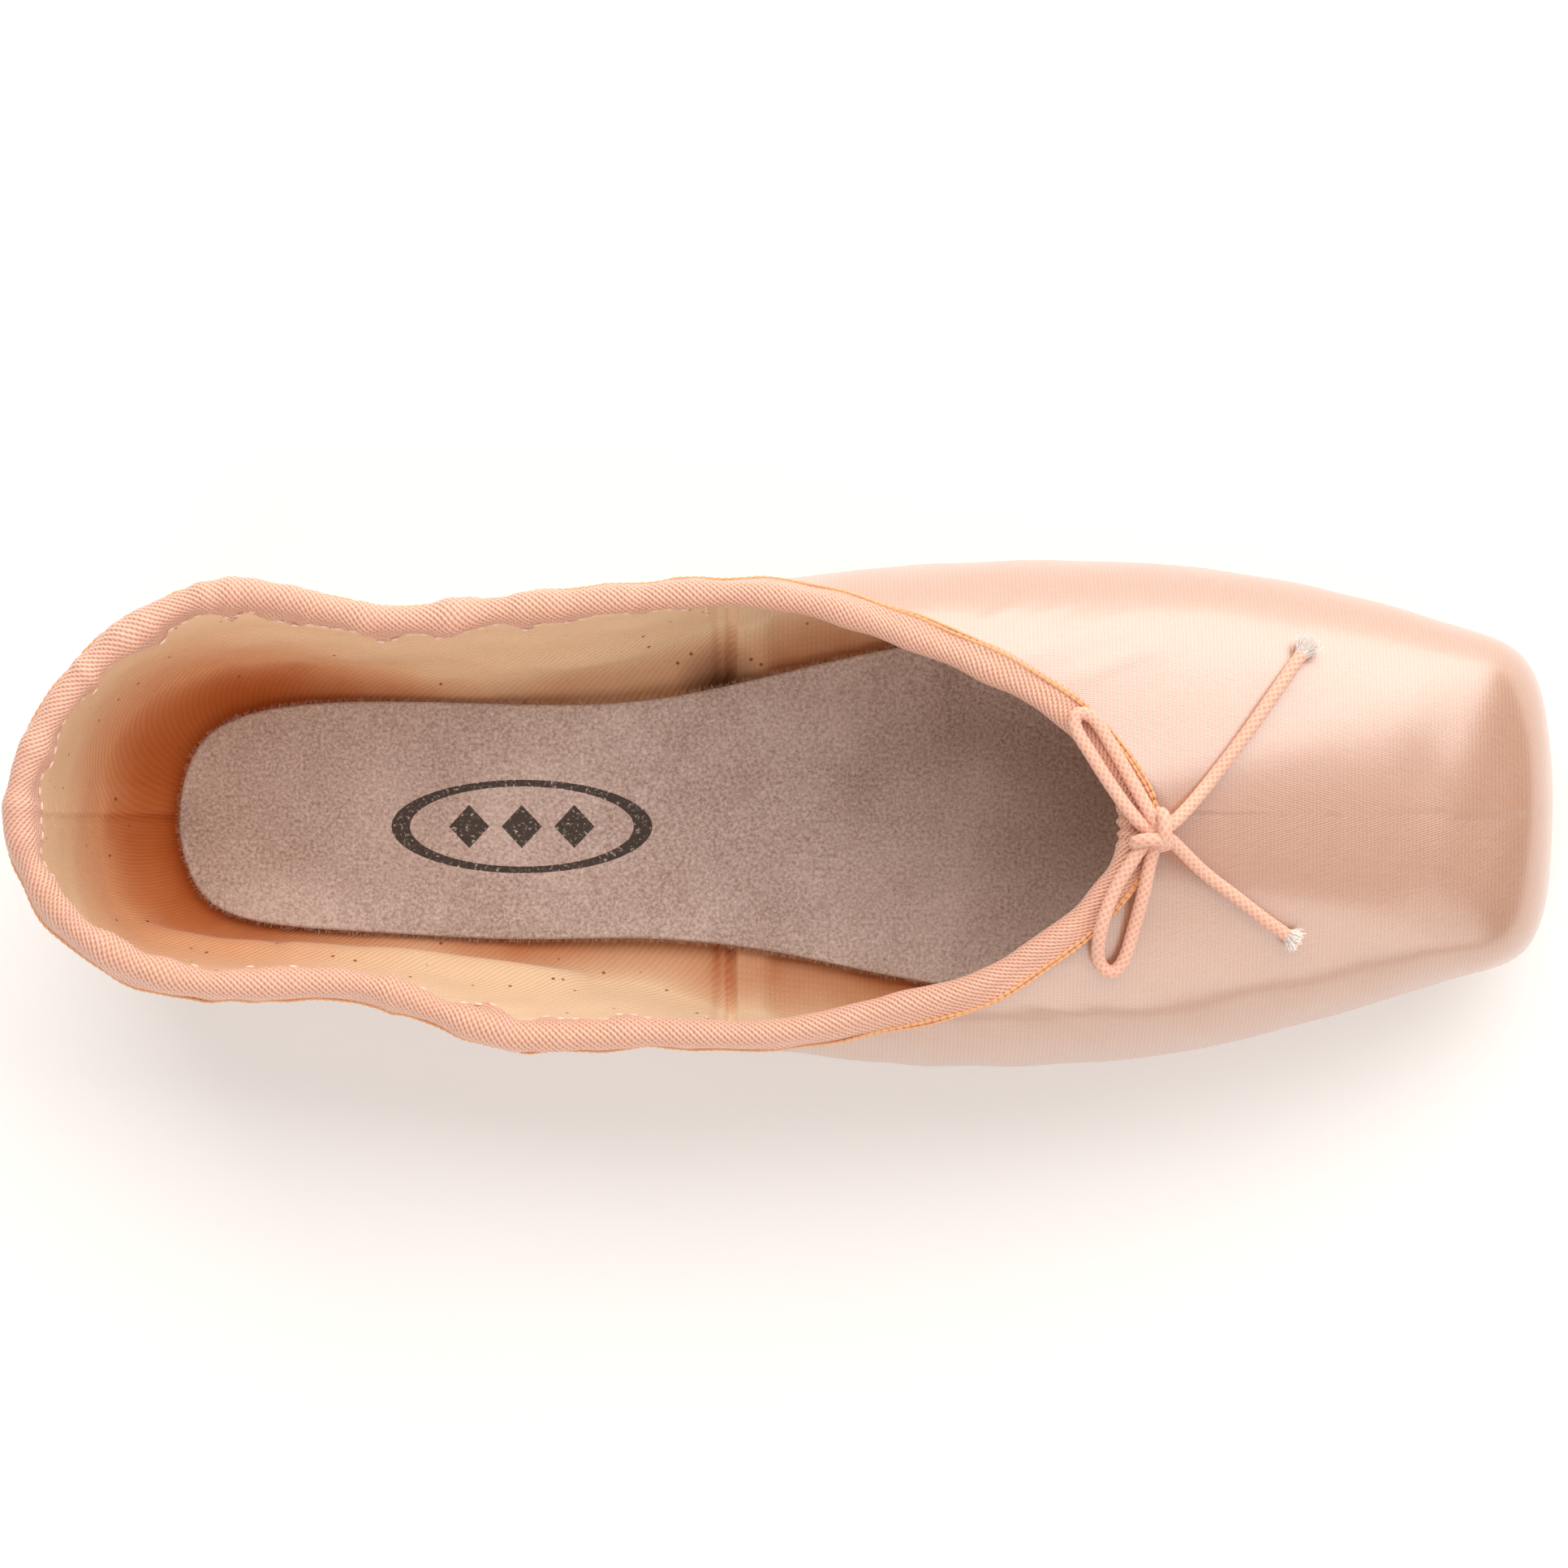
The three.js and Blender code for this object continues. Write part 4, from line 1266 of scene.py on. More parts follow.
@dataclass
class Upper:
    """The satin outside and the cotton inside of the upper, with their seams."""

    last: Last
    satin_depth: float = 0.55
    around: int = 470
    lining_around: int = 430
    bottom_steps: int = 28
    wall_steps: int = 56
    side_seam: float = 8.25
    stitch_offsets: tuple[float, float] = (1.0, 2.9)
    station_step: float = 12.5
    pleat_pitch: float = 4.2
    pleat_height: float = 0.5
    satin_creases: tuple[Crease, ...] = (
        Crease(6.3, 1.93, 5.8, 1.55, 1.2, 0.16),
        Crease(5.9, 1.93, 5.3, 1.6, 1.0, -0.12),
        Crease(5.5, 1.93, 4.9, 1.62, 1.1, 0.15),
        Crease(5.1, 1.93, 4.5, 1.68, 0.9, -0.1),
        Crease(4.7, 1.93, 4.2, 1.72, 1.0, 0.12),
        Crease(24.3, 1.93, 24.8, 1.66, 1.1, 0.12),
        Crease(24.9, 1.93, 25.5, 1.7, 1.0, -0.1),
        Crease(9.6, 1.85, 10.2, 1.2, 3.2, -0.5),
        Crease(10.6, 1.85, 10.9, 1.15, 3.0, 0.45),
        Crease(12.0, 1.9, 12.4, 1.25, 3.4, -0.5),
        Crease(13.2, 1.8, 13.4, 1.2, 2.6, 0.4),
        Crease(16.8, 1.85, 16.6, 1.2, 2.6, 0.4),
        Crease(17.9, 1.9, 17.6, 1.25, 3.2, -0.6),
        Crease(19.0, 1.85, 19.3, 1.2, 3.0, 0.45),
        Crease(20.4, 1.85, 20.0, 1.15, 3.4, -0.5),
        Crease(22.4, 1.9, 22.0, 1.4, 2.4, -0.3),
        Crease(9.0, 0.95, 11.5, 0.9, 2.4, -0.35),
        Crease(18.6, 0.9, 21.2, 0.95, 2.4, -0.35),
    )
    lining_creases: tuple[Crease, ...] = (
        Crease(8.6, 1.5, 12.8, 1.62, 3.2, 0.7),
        Crease(9.4, 1.2, 13.0, 1.28, 4.0, -0.6),
        Crease(13.2, 1.1, 14.6, 1.6, 3.0, 0.4),
        Crease(16.2, 1.7, 18.6, 1.3, 3.0, 0.6),
        Crease(17.4, 1.5, 19.8, 1.6, 2.6, -0.5),
        Crease(19.6, 1.55, 21.4, 1.4, 3.0, 0.6),
        Crease(8.8, 0.7, 10.4, 0.85, 3.0, 0.8),
        Crease(10.6, 0.85, 11.8, 0.7, 3.0, -0.5),
        Crease(16.6, 0.72, 18.4, 0.8, 3.0, 1.5),
        Crease(18.2, 0.8, 20.6, 0.74, 3.2, 1.9),
    )

    def seams(self) -> tuple[float, float, float]:
        """Returns the stations of the side seams and of the seam up the heel."""
        return (self.side_seam, self.last.stations / 2, self.last.stations - self.side_seam)

    def rises(self) -> np.ndarray:
        """Returns the steps up the wall."""
        bottom = np.linspace(0, 1, self.bottom_steps, endpoint=False)
        return np.concatenate([bottom, np.linspace(1, 2, self.wall_steps)])

    def seam_relief(self, station: np.ndarray, rise: np.ndarray, points: np.ndarray) -> np.ndarray:
        """Returns the satin's seams: a groove at each side and a flat strip up the heel.

        Args:
            station: Places round the shoe.
            rise: Places up the wall.
            points: The skin's points there.

        Returns:
            Heights off the skin.
        """
        relief = np.zeros(points.shape[:-1])
        for seam in (self.side_seam, self.last.stations - self.side_seam):
            line = self.last.skin(np.full_like(rise, seam), rise)
            distance = (points - line)[..., 0]
            relief += -0.3 * np.exp(
                -((distance / 0.5) ** 2)
            ) + 0.22 * ease(-distance, 0.3, 1.2) * ease(distance, -9, -4)
        heel = self.last.stations / 2
        line = self.last.skin(np.full_like(rise, heel), rise)
        across = np.abs((points - line)[..., 1])
        near = np.abs(station - heel) < 1.5
        relief += np.where(near, 0.3 * ease(-across, -4.2, -3.4) - 0.25 * np.exp(-((across / 0.4) ** 2)), 0)
        return relief

    def pleats(self, station: np.ndarray, rise: np.ndarray, distance: np.ndarray) -> np.ndarray:
        """Returns the pleats where the satin is gathered under the toe.

        Args:
            station: Places round the shoe.
            rise: Places up the wall.
            distance: Lengths round the shoe.

        Returns:
            Heights off the skin.
        """
        from_toe = np.minimum(station, self.last.stations - station)
        window = ease(-from_toe, -6.2, -4.0) * ease(rise, 0.5, 0.62) * (1 - ease(rise, 0.8, 1.02))
        phase = distance / self.pleat_pitch + 0.25 * np.sin(distance / 5.3)
        fold = np.abs(np.sin(np.pi * phase)) ** 0.7
        return window * self.pleat_height * (fold - 0.55)

    def build_satin(self, satin: bpy.types.Material) -> bpy.types.Object:
        """Makes the satin outside.

        Args:
            satin: Its finish.

        Returns:
            The piece.
        """
        last = self.last
        stations, distance = last.even_stations(last.wall_line, self.around, self.seams())
        rise = self.rises()[None, :]
        station = stations[:, None]
        skin = last.skin(station, rise)
        out = last.outward(station, rise)
        grid_s, grid_r = np.broadcast_arrays(station, rise)
        hem = 1 - ease(grid_r, 1.72, 1.9) * ease(-np.abs(grid_s - 15), -9, -7)
        relief = crease_relief(last, skin, self.satin_creases) * hem
        relief += 0.8 * self.seam_relief(grid_s, grid_r, skin) * (1 - ease(grid_r, 1.78, 1.86))
        relief += self.pleats(grid_s, grid_r, distance[:-1, None] + 0 * grid_r)
        lumps = soft_noise(skin[..., 0] / 16, skin[..., 1] / 12 + skin[..., 2] / 14, 3)
        relief += 0.1 * lumps * ease(grid_r, 0.55, 0.9) * (1 - ease(grid_r, 1.7, 1.85))
        outer = skin + out * relief[..., None]
        inner = skin - out * self.satin_depth
        points = np.concatenate([outer, inner[:, ::-1]], axis=1)
        facing = np.concatenate([out[..., 0], out[:, ::-1, 0]], axis=1)
        drop = np.where(facing > 0, BOX - 3, HEEL) - points[..., 2]
        u = points[..., 0] + np.sign(facing) * drop * ease(np.abs(facing), 0.5, 0.9)
        v = np.sign(points[..., 1]) * (np.abs(points[..., 1]) + (60 - points[..., 2]))
        uv = closed_uv(u, v)
        uv = np.concatenate([uv, uv[:1]], axis=0)
        uv = np.concatenate([uv, uv[:, :1]], axis=1)
        return grid_object("satin_upper", points, uv, [satin])

    def build_lining(self, twill: bpy.types.Material, canvas: bpy.types.Material) -> bpy.types.Object:
        """Makes the cotton inside: twill behind the side seams and plain canvas in front of them.

        Args:
            twill: Finish of the back.
            canvas: Finish of the front.

        Returns:
            The piece.
        """
        last = self.last
        stations, distance = last.even_stations(last.wall_line, self.lining_around, self.seams())
        rise = np.concatenate([np.linspace(0, 1, 24, endpoint=False), np.linspace(1, 2, 44)])[None, :]
        station = stations[:, None]
        skin = last.skin(station, rise)
        out = last.outward(station, rise)
        wall = last.wall(skin[..., 0])[..., None]
        grid_s, grid_r = np.broadcast_arrays(station, rise)
        relief = self.lining_relief(grid_s, grid_r, skin)
        inner = skin - out * (wall + relief[..., None])
        outer = skin - out * (self.satin_depth + 0.1)
        points = np.concatenate([outer, inner[:, ::-1]], axis=1)
        u = np.concatenate([distance[:, None] + 0 * rise, distance[:, None] + 0 * rise], axis=1)
        heights = np.concatenate([skin[..., 2], skin[:, ::-1, 2]], axis=1)
        spread = np.abs(np.concatenate([skin[..., 1], skin[:, ::-1, 1]], axis=1))
        v = heights * 1.0 + spread * 0.5
        v = np.concatenate([v, v[:1]], axis=0)
        uv = closed_uv(u, v)
        uv = np.concatenate([uv, uv[:, :1]], axis=1)
        piece = grid_object("cotton_lining", points, uv, [twill, canvas])
        seam = last.skin(np.array([self.side_seam]), np.array([1.5]))[0, 0]
        for face in piece.data.polygons:
            face.material_index = 1 if face.center.x > seam * MM else 0
        return piece

    def lining_relief(self, station: np.ndarray, rise: np.ndarray, points: np.ndarray) -> np.ndarray:
        """Returns how far the lining stands off the wall, from its folds, ripples and seams.

        Args:
            station: Places round the shoe.
            rise: Places up the wall, of the same shape.
            points: The skin's points there.

        Returns:
            Heights in millimetres.
        """
        window = (1 - ease(rise, 1.7, 1.85)) * ease(rise, 0.5, 0.7)
        relief = crease_relief(self.last, points, self.lining_creases) * window
        relief += 0.18 * soft_noise(points[..., 0] / 11, points[..., 2] / 9 + points[..., 1] / 20, 8) * window
        return relief + self.lining_seams(station, rise, points) * (1 - ease(rise, 1.78, 1.86))

    def lining_seams(self, station: np.ndarray, rise: np.ndarray, points: np.ndarray) -> np.ndarray:
        """Returns the lining's lapped side seams and the closed seam up the heel.

        Args:
            station: Places round the shoe.
            rise: Places up the wall.
            points: The skin's points there.

        Returns:
            Heights off the lining.
        """
        relief = np.zeros(points.shape[:-1])
        for seam in (self.side_seam, self.last.stations - self.side_seam):
            line = self.last.skin(np.full_like(rise, seam), rise)
            distance = (points - line)[..., 0]
            relief += 0.4 * ease(distance, -0.2, 0.2) * ease(-distance, -6.5, -3.5)
            for offset in self.stitch_offsets:
                relief -= 0.3 * np.exp(-(((distance + offset) / 0.5) ** 2))
        heel = self.last.stations / 2
        line = self.last.skin(np.full_like(rise, heel), rise)
        across = (points - line)[..., 1]
        near = np.abs(station - heel) < 1.5
        relief += np.where(near, 0.3 * ease(-np.abs(across - 2.5), -3.0, -2.4), 0)
        relief -= np.where(near, 0.55 * np.exp(-((across / 0.5) ** 2)), 0)
        pull = 0.14 * np.sin(points[..., 2] * 1.9) * np.exp(-((across / 3.0) ** 2))
        relief += np.where(near, pull, 0)
        return relief

    def seam_stitches(self, recipe: StitchRecipe, thread: bpy.types.Material) -> list[bpy.types.Object]:
        """Sews the seams, outside and inside.

        Args:
            recipe: Lays stitches along a line.
            thread: The thread's finish.

        Returns:
            The rows of stitches.
        """
        rows = []
        last = self.last
        outside = np.linspace(1.78, 0.75, 60)
        inside = np.linspace(1.75, 0.95, 50)
        for name, station in (("left", self.side_seam), ("right", last.stations - self.side_seam)):
            for number, offset in enumerate(self.stitch_offsets):
                shift = offset / self.station_step * (-1 if name == "right" else 1)
                place = np.full_like(inside, station + shift)
                skin = last.skin(place, inside)
                depth = last.wall(skin[..., 0]) + self.lining_relief(place, inside, skin) + 0.24
                line = skin - last.outward(place, inside) * depth[:, None]
                guide = line_mesh("guide", line)
                label = f"lining_stitches_{name}_{number + 1}"
                rows.append(recipe.run(label, guide, thread, Spacing=0.0022, Length=0.0015, Thickness=0.0005))
            place = np.full_like(outside, station + (0.1 if name == "left" else -0.1))
            line = last.skin(place, outside) + last.outward(place, outside) * 0.2
            guide = line_mesh("guide", line)
            rows.append(
                recipe.run(f"satin_stitches_{name}", guide, thread, Spacing=0.0019, Length=0.0014, Thickness=0.0003)
            )
        for number, offset in enumerate((-0.14, 0.14)):
            place = np.full_like(outside, last.stations / 2 + offset)
            line = last.skin(place, outside) + last.outward(place, outside) * 0.28
            guide = line_mesh("guide", line)
            rows.append(
                recipe.run(
                    f"heel_stitches_{number + 1}", guide, thread, Spacing=0.0019, Length=0.0014, Thickness=0.0003
                )
            )
        return rows


# ---------------------------------------------------------------- the binding


class Gather(NamedTuple):
    """A small fold across the tape, in millimetres: its place, slant, width and height."""

    place: float
    slant: float
    width: float
    height: float


@dataclass
class Binding:
    """The twill tape folded over the collar, puckered where the drawstring has drawn it in."""

    last: Last
    outside: float = 3.8
    inside: float = 5.5
    near: float = 0.35
    thickness: float = 0.8
    around: int = 1300
    throat_pucker: float = 2.6
    throat_spare: float = 0.8

    def gathers(self, length: float) -> list[Gather]:
        """Spaces gathers unevenly along a collar of this length.

        Args:
            length: The collar's length.

        Returns:
            The gathers, in order.
        """
        chance = np.random.default_rng(11)
        folds = []
        place = 0.0
        while place < length:
            slant, width, height = chance.uniform((-4.5, 1.1, 0.25), (4.5, 2.6, 1.0))
            folds.append(Gather(place, slant, width, height))
            place += chance.uniform(3.0, 8.0)
        return folds

    def puckers(self, distance: np.ndarray, station: np.ndarray, down: np.ndarray) -> np.ndarray:
        """Returns how far the tape stands up in gathers.

        They are deep round the heel and small along the sides, and deeper at the inner edge. Tight
        ones radiate from the front of the throat, where the drawstring comes out.

        Args:
            distance: Millimetres along the collar.
            station: Stations along the collar.
            down: From -1 at the outer edge, through 0 on top, to 1 at the inner edge.

        Returns:
            Heights in millimetres.
        """
        length = float(distance.max())
        from_heel = np.abs(station - self.last.stations / 2)
        from_throat = np.minimum(station, self.last.stations - station)
        gather = 0.12 + 0.88 * ease(-from_heel, -7.5, -4.5)
        inner = 0.35 + 0.65 * ease(down, -0.2, 0.4)
        relief = (0.1 + 0.25 * gather) * soft_noise(distance / 15, 0.2 * down, 21)
        for fold in self.gathers(length):
            off = (distance - fold.place - fold.slant * down) / fold.width
            relief = relief + fold.height * gather * inner * np.exp(-(off**2))
        wrapped = np.where(distance > length / 2, distance - length, distance)
        pinch = np.sin(np.pi * (wrapped + 0.8 * down) / self.throat_pucker + 0.9 * np.sin(wrapped / 2.3)) ** 2
        calm = 1 - 0.85 * ease(down, -0.1, 0.3)
        return relief + 0.6 * calm * ease(-from_throat, -1.5, -0.4) * (pinch - 0.45)

    def reach(self, stations: np.ndarray) -> np.ndarray:
        """Returns how far the tape reaches down the outside: less along the sides of the throat."""
        from_throat = np.minimum(stations, self.last.stations - stations)
        return self.outside - self.throat_spare * ease(from_throat, 0.6, 2.4) * ease(-from_throat, -9, -7)

    def build(self, tape: bpy.types.Material) -> bpy.types.Object:
        """Makes the tape.

        Args:
            tape: Its finish.

        Returns:
            The piece.
        """
        last = self.last
        stations, distance = last.even_stations(last.collar_line, self.around)
        edge_out = last.skin(stations, np.full_like(stations, 2.0))
        out = last.outward(stations, np.full_like(stations, 2.0))
        wall = last.wall(edge_out[:, 0])[:, None]
        edge = edge_out - out * wall / 2
        up = unit(edge_out - last.skin(stations, np.full_like(stations, 1.98)))
        far = self.near + self.thickness
        reach = self.reach(stations)

        def face(below: float | np.ndarray, stand: float, inner: bool) -> np.ndarray:
            """Returns a line along the wall, below the collar and off one of its faces.

            Args:
                below: How far below the collar.
                stand: How far off the face.
                inner: Whether it is the inner face.

            Returns:
                The line's points.
            """
            rise = last.rise_below_collar(stations, below)
            point = last.skin(stations, rise)
            direction = last.outward(stations, rise)
            if inner:
                return point - direction * (last.wall(point[:, 0])[:, None] + stand)
            return point + direction * stand

        def roll(radius: np.ndarray, degrees: float) -> np.ndarray:
            """Returns a line round the collar's top edge, from its outer side to its inner side."""
            angle = math.radians(degrees)
            return edge + out * radius * math.cos(angle) + up * radius * math.sin(angle)

        columns = []
        downs = []
        for share in np.linspace(1, 0.1, 10):
            columns.append(face(reach * share, far * (1 if share < 0.99 else 0.75), False))
            downs.append(-share)
        for degrees in np.linspace(0, 180, 11):
            columns.append(roll(wall / 2 + far, degrees))
            downs.append((degrees - 90) / 900)
        for share in np.linspace(0.1, 1, 10):
            columns.append(face(self.inside * share, far * (1 if share < 0.99 else 0.75), True))
            downs.append(share)
        top = len(columns)
        for share in (1.0, 0.66, 0.33):
            columns.append(face(self.inside * share, self.near, True))
        for degrees in (180, 135, 90, 45, 0):
            columns.append(roll(wall / 2 + self.near, degrees))
        for share in (0.33, 0.66, 1.0):
            columns.append(face(reach * share, self.near, False))
        points = np.stack(columns, axis=1)
        around = np.roll(points, -1, axis=0) - np.roll(points, 1, axis=0)
        across = np.roll(points, -1, axis=1) - np.roll(points, 1, axis=1)
        normal = unit(np.cross(around, across))
        down = np.array(downs)[None, :]
        relief = self.puckers(distance[:-1, None], stations[:, None], down)
        relief += 0.08 * soft_noise(distance[:-1, None] / 9, down * 1.5, 5)
        points[:, :top] += normal[:, :top] * np.maximum(relief, -0.4)[..., None]
        widths = np.linalg.norm(np.diff(points, axis=1), axis=-1).mean(axis=0)
        v = np.concatenate([[0], np.cumsum(widths), [0]])[None, :]
        uv = closed_uv(distance[:, None] + 0 * v, v + 0 * distance[:, None])
        return grid_object("twill_binding", points, uv, [tape])

    def stitches(
        self, recipe: StitchRecipe, chain: bpy.types.Material, thread: bpy.types.Material
    ) -> list[bpy.types.Object]:
        """Sews the tape's outer edge with a chain stitch and its inner edge with a plain one.

        Args:
            recipe: Lays stitches along a line.
            chain: The outer thread's finish.
            thread: The inner thread's finish.

        Returns:
            The rows of stitches.
        """
        last = self.last
        stations, distance = last.even_stations(last.collar_line, self.around)
        rows = []
        for number in range(2):
            zigzag = np.abs((distance[:-1] / 2.2 + number / 2) % 1 * 2 - 1)
            rise = last.rise_below_collar(stations, self.reach(stations) - 0.25 - 0.7 * zigzag)
            relief = self.puckers(distance[:-1], stations, np.array(-0.9))[:, None]
            lift = self.near + self.thickness + 0.06 + relief
            line = last.skin(stations, rise) + last.outward(stations, rise) * lift
            guide = line_mesh("guide", line, closed=True)
            label = f"binding_chain_stitches_{number + 1}"
            rows.append(recipe.run(label, guide, chain, Spacing=0.0013, Length=0.0014, Thickness=0.00056))
        rise = last.rise_below_collar(stations, self.inside - 1.6)
        point = last.skin(stations, rise)
        relief = self.puckers(distance[:-1], stations, np.array(0.9))[:, None]
        lift = last.wall(point[:, 0])[:, None] + self.near + self.thickness + 0.05 + relief
        line = point - last.outward(stations, rise) * lift
        guide = line_mesh("guide", line, closed=True)
        rows.append(
            recipe.run("binding_inner_stitches", guide, thread, Spacing=0.0022, Length=0.0014, Thickness=0.0004)
        )
        return rows


# ---------------------------------------------------------------- the soles


Height = Callable[[np.ndarray, np.ndarray, np.ndarray], np.ndarray]


@dataclass
class SolePlate:
    """A flat sole piece of soft edges, built on strips from its left side to its right."""

    last: Last
    rows: tuple[LineRow, ...]
    outline_steps: int = 240
    across_steps: int = 40

    def surface(self, inset: float, height: Height, shares: np.ndarray) -> np.ndarray:
        """Returns strips of points from side to side at a height that the place decides.

        Args:
            inset: How far the outline is drawn in.
            height: Gives a height for x, y and the share of the half width.
            shares: Places from the left side, 0, to the right side, 1.

        Returns:
            Strips by shares of points.
        """
        outline = self.last.outline(self.rows, self.outline_steps, inset)
        half = self.outline_steps // 2
        left = outline[: half + 1]
        right = np.concatenate([outline[:1], outline[half:][::-1]])
        points = left[:, None] + (right - left)[:, None] * shares[None, :, None]
        side = np.abs(shares * 2 - 1)[None, :] + 0 * points[..., 0]
        points[..., 2] = height(points[..., 0], points[..., 1], side)
        return points

    def build(
        self, name: str, top: Height, under: Height, material: bpy.types.Material, bevel: float
    ) -> bpy.types.Object:
        """Makes the piece.

        Args:
            name: The piece's name.
            top: Gives the height of the upper face.
            under: Gives the height of the lower face.
            material: The finish.
            bevel: How far both faces' edges are rounded in.

        Returns:
            The piece.
        """
        shares = 0.5 - 0.5 * np.cos(np.linspace(0, np.pi, self.across_steps))
        upper = self.surface(bevel, top, shares)
        lower = self.surface(bevel, under, shares)
        edge_high = self.surface(0, lambda x, y, side: top(x, y, side) - bevel * 0.7, shares)
        edge_low = self.surface(0, lambda x, y, side: under(x, y, side) + bevel * 0.7, shares)
        loop = [
            lower[:, ::-1],
            edge_low[:, :1],
            edge_high[:, :1],
            upper,
            edge_high[:, -1:],
            edge_low[:, -1:],
        ]
        points = np.concatenate(loop, axis=1)[::-1]
        uv = closed_uv(points[..., 0], points[..., 1])
        uv = np.concatenate([uv, uv[:, :1]], axis=1)
        piece = grid_object(name, points, uv, [material], wrap_rows=False)
        tidy_mesh(piece)
        return piece


def merge_pieces(name: str, pieces: Sequence[bpy.types.Object]) -> bpy.types.Object:
    """Puts the meshes of several pieces with the same finish into the first of them.

    Args:
        name: The merged piece's name.
        pieces: The pieces; all but the first are removed.

    Returns:
        The merged piece.
    """
    work = bmesh.new()
    for piece in pieces:
        work.from_mesh(piece.data)
    work.to_mesh(pieces[0].data)
    work.free()
    for piece in pieces[1:]:
        bpy.data.objects.remove(piece)
    pieces[0].name = name
    return pieces[0]


def tidy_mesh(piece: bpy.types.Object) -> None:
    """Merges doubled points and turns every face outwards.

    Args:
        piece: The piece to mend.
    """
    work = bmesh.new()
    work.from_mesh(piece.data)
    bmesh.ops.remove_doubles(work, verts=work.verts, dist=2e-6)
    bmesh.ops.dissolve_degenerate(work, edges=work.edges, dist=1e-7)
    bmesh.ops.recalc_face_normals(work, faces=work.faces)
    work.to_mesh(piece.data)
    work.free()


@dataclass
class Soles:
    """The leather outsole and the suede insole."""

    last: Last
    insole_thickness: float = 2.0
    cup: float = 1.3

    def build_outsole(self, leather: bpy.types.Material) -> bpy.types.Object:
        """Makes the outsole.

        Args:
            leather: Its finish.

        Returns:
            The piece.
        """
        last = self.last
        plate = SolePlate(last, OUTSOLE)
        return plate.build(
            "leather_outsole",
            lambda x, y, side: last.tread(x) + last.outsole_thickness + 0 * side,
            lambda x, y, side: last.tread(x) + 0 * side,
            leather,
            0.7,
        )

    def build_insole(self, suede: bpy.types.Material) -> bpy.types.Object:
        """Makes the insole's plate, cupped at its sides and a little uneven.

        Args:
            suede: Its finish.

        Returns:
            The piece.
        """
        last = self.last
        plate = SolePlate(last, INSOLE)

        def under(x: np.ndarray, y: np.ndarray, side: np.ndarray) -> np.ndarray:
            """Returns the height of the lower face, cupped at the sides."""
            return last.turn_in(x) + last.wall(x) + last.gap + self.cup * ease(side, 0.55, 1.0)

        def top(x: np.ndarray, y: np.ndarray, side: np.ndarray) -> np.ndarray:
            """Returns the height of the upper face, a little uneven."""
            flat = last.turn_in(x) + last.wall(x) + last.gap + self.insole_thickness
            return flat + 0.5 * ease(side, 0.6, 1.0) + 0.08 * soft_noise(x / 14, y / 10, 12)

        return plate.build("suede_insole", top, under, suede, 0.35)

    def build_core(self, suede: bpy.types.Material) -> bpy.types.Object:
        """Makes the filler between the insole and the outsole.

        Args:
            suede: Its finish.

        Returns:
            The piece.
        """
        last = self.last
        plate = SolePlate(last, OPENING, outline_steps=120, across_steps=8)
        return plate.build(
            "sole_filler",
            lambda x, y, side: last.turn_in(x) + last.wall(x) + last.gap + 0.1 + 0 * side,
            lambda x, y, side: last.turn_in(x) + 0.0 * side,
            suede,
            0.5,
        )

    def nap(self, recipe: FibreRecipe, fibre: bpy.types.Material) -> bpy.types.Object:
        """Raises loose fibres along the insole's cut edge.

        Args:
            recipe: Grows fibres on a surface.
            fibre: Their finish.

        Returns:
            The piece.
        """
        rim = self.last.outline(INSOLE, 360, 0.15)
        floor = self.last.turn_in(rim[:, 0]) + self.last.wall(rim[:, 0]) + self.last.gap
        low = rim.copy()
        high = rim.copy()
        low[:, 2] = floor + self.cup + 0.2
        high[:, 2] = floor + self.insole_thickness + 0.3
        count = len(rim)
        mesh = bpy.data.meshes.new("guide")
        faces = [(k, (k + 1) % count, (k + 1) % count + count, k + count) for k in range(count)]
        mesh.from_pydata((np.concatenate([low, high]) * MM).tolist(), [], faces)
        return recipe.run(
            "insole_nap", mesh, fibre, Density=9.0e6, Length=0.0009, Thickness=0.00009, Spread=0.9, Seed=4
        )


# ---------------------------------------------------------------- the bow


class RouteRow(NamedTuple):
    """A point of the drawstring. along and side are percent, z is millimetres above the floor."""

    along: float
    side: float
    z: float


KNOT = RouteRow(73.2, -3.6, 53.1)
LOOP_LEFT = (
    RouteRow(71.9, -0.4, 52.9),
    RouteRow(70.6, 5.0, 52.4),
    RouteRow(69.3, 11.2, 52.1),
    RouteRow(68.3, 16.4, 51.7),
    RouteRow(68.4, 19.2, 51.4),
    RouteRow(69.4, 18.4, 51.3),
    RouteRow(70.6, 12.8, 51.5),
    RouteRow(71.9, 5.8, 52.0),
    RouteRow(72.9, 0.4, 52.8),
)
LOOP_RIGHT = (
    RouteRow(72.2, -7.4, 52.9),
    RouteRow(70.8, -14.3, 52.3),
    RouteRow(69.9, -22.1, 51.6),
    RouteRow(69.8, -28.1, 49.3),
    RouteRow(70.6, -30.6, 48.3),
    RouteRow(71.4, -28.1, 48.4),
    RouteRow(72.0, -22.1, 49.2),
    RouteRow(72.6, -15.1, 51.1),
    RouteRow(73.0, -9.0, 52.0),
)
END_LEFT = (
    RouteRow(74.4, -1.8, 52.2),
    RouteRow(75.6, 1.8, 50.2),
    RouteRow(77.0, 6.8, 48.0),
    RouteRow(79.0, 14.6, 46.4),
    RouteRow(80.9, 22.6, 44.2),
    RouteRow(82.8, 30.6, 41.0),
)
END_RIGHT = (
    RouteRow(74.4, -5.4, 52.0),
    RouteRow(76.4, -11.2, 48.5),
    RouteRow(78.4, -15.8, 46.7),
    RouteRow(80.2, -20.0, 45.0),
    RouteRow(81.8, -23.4, 43.4),
)


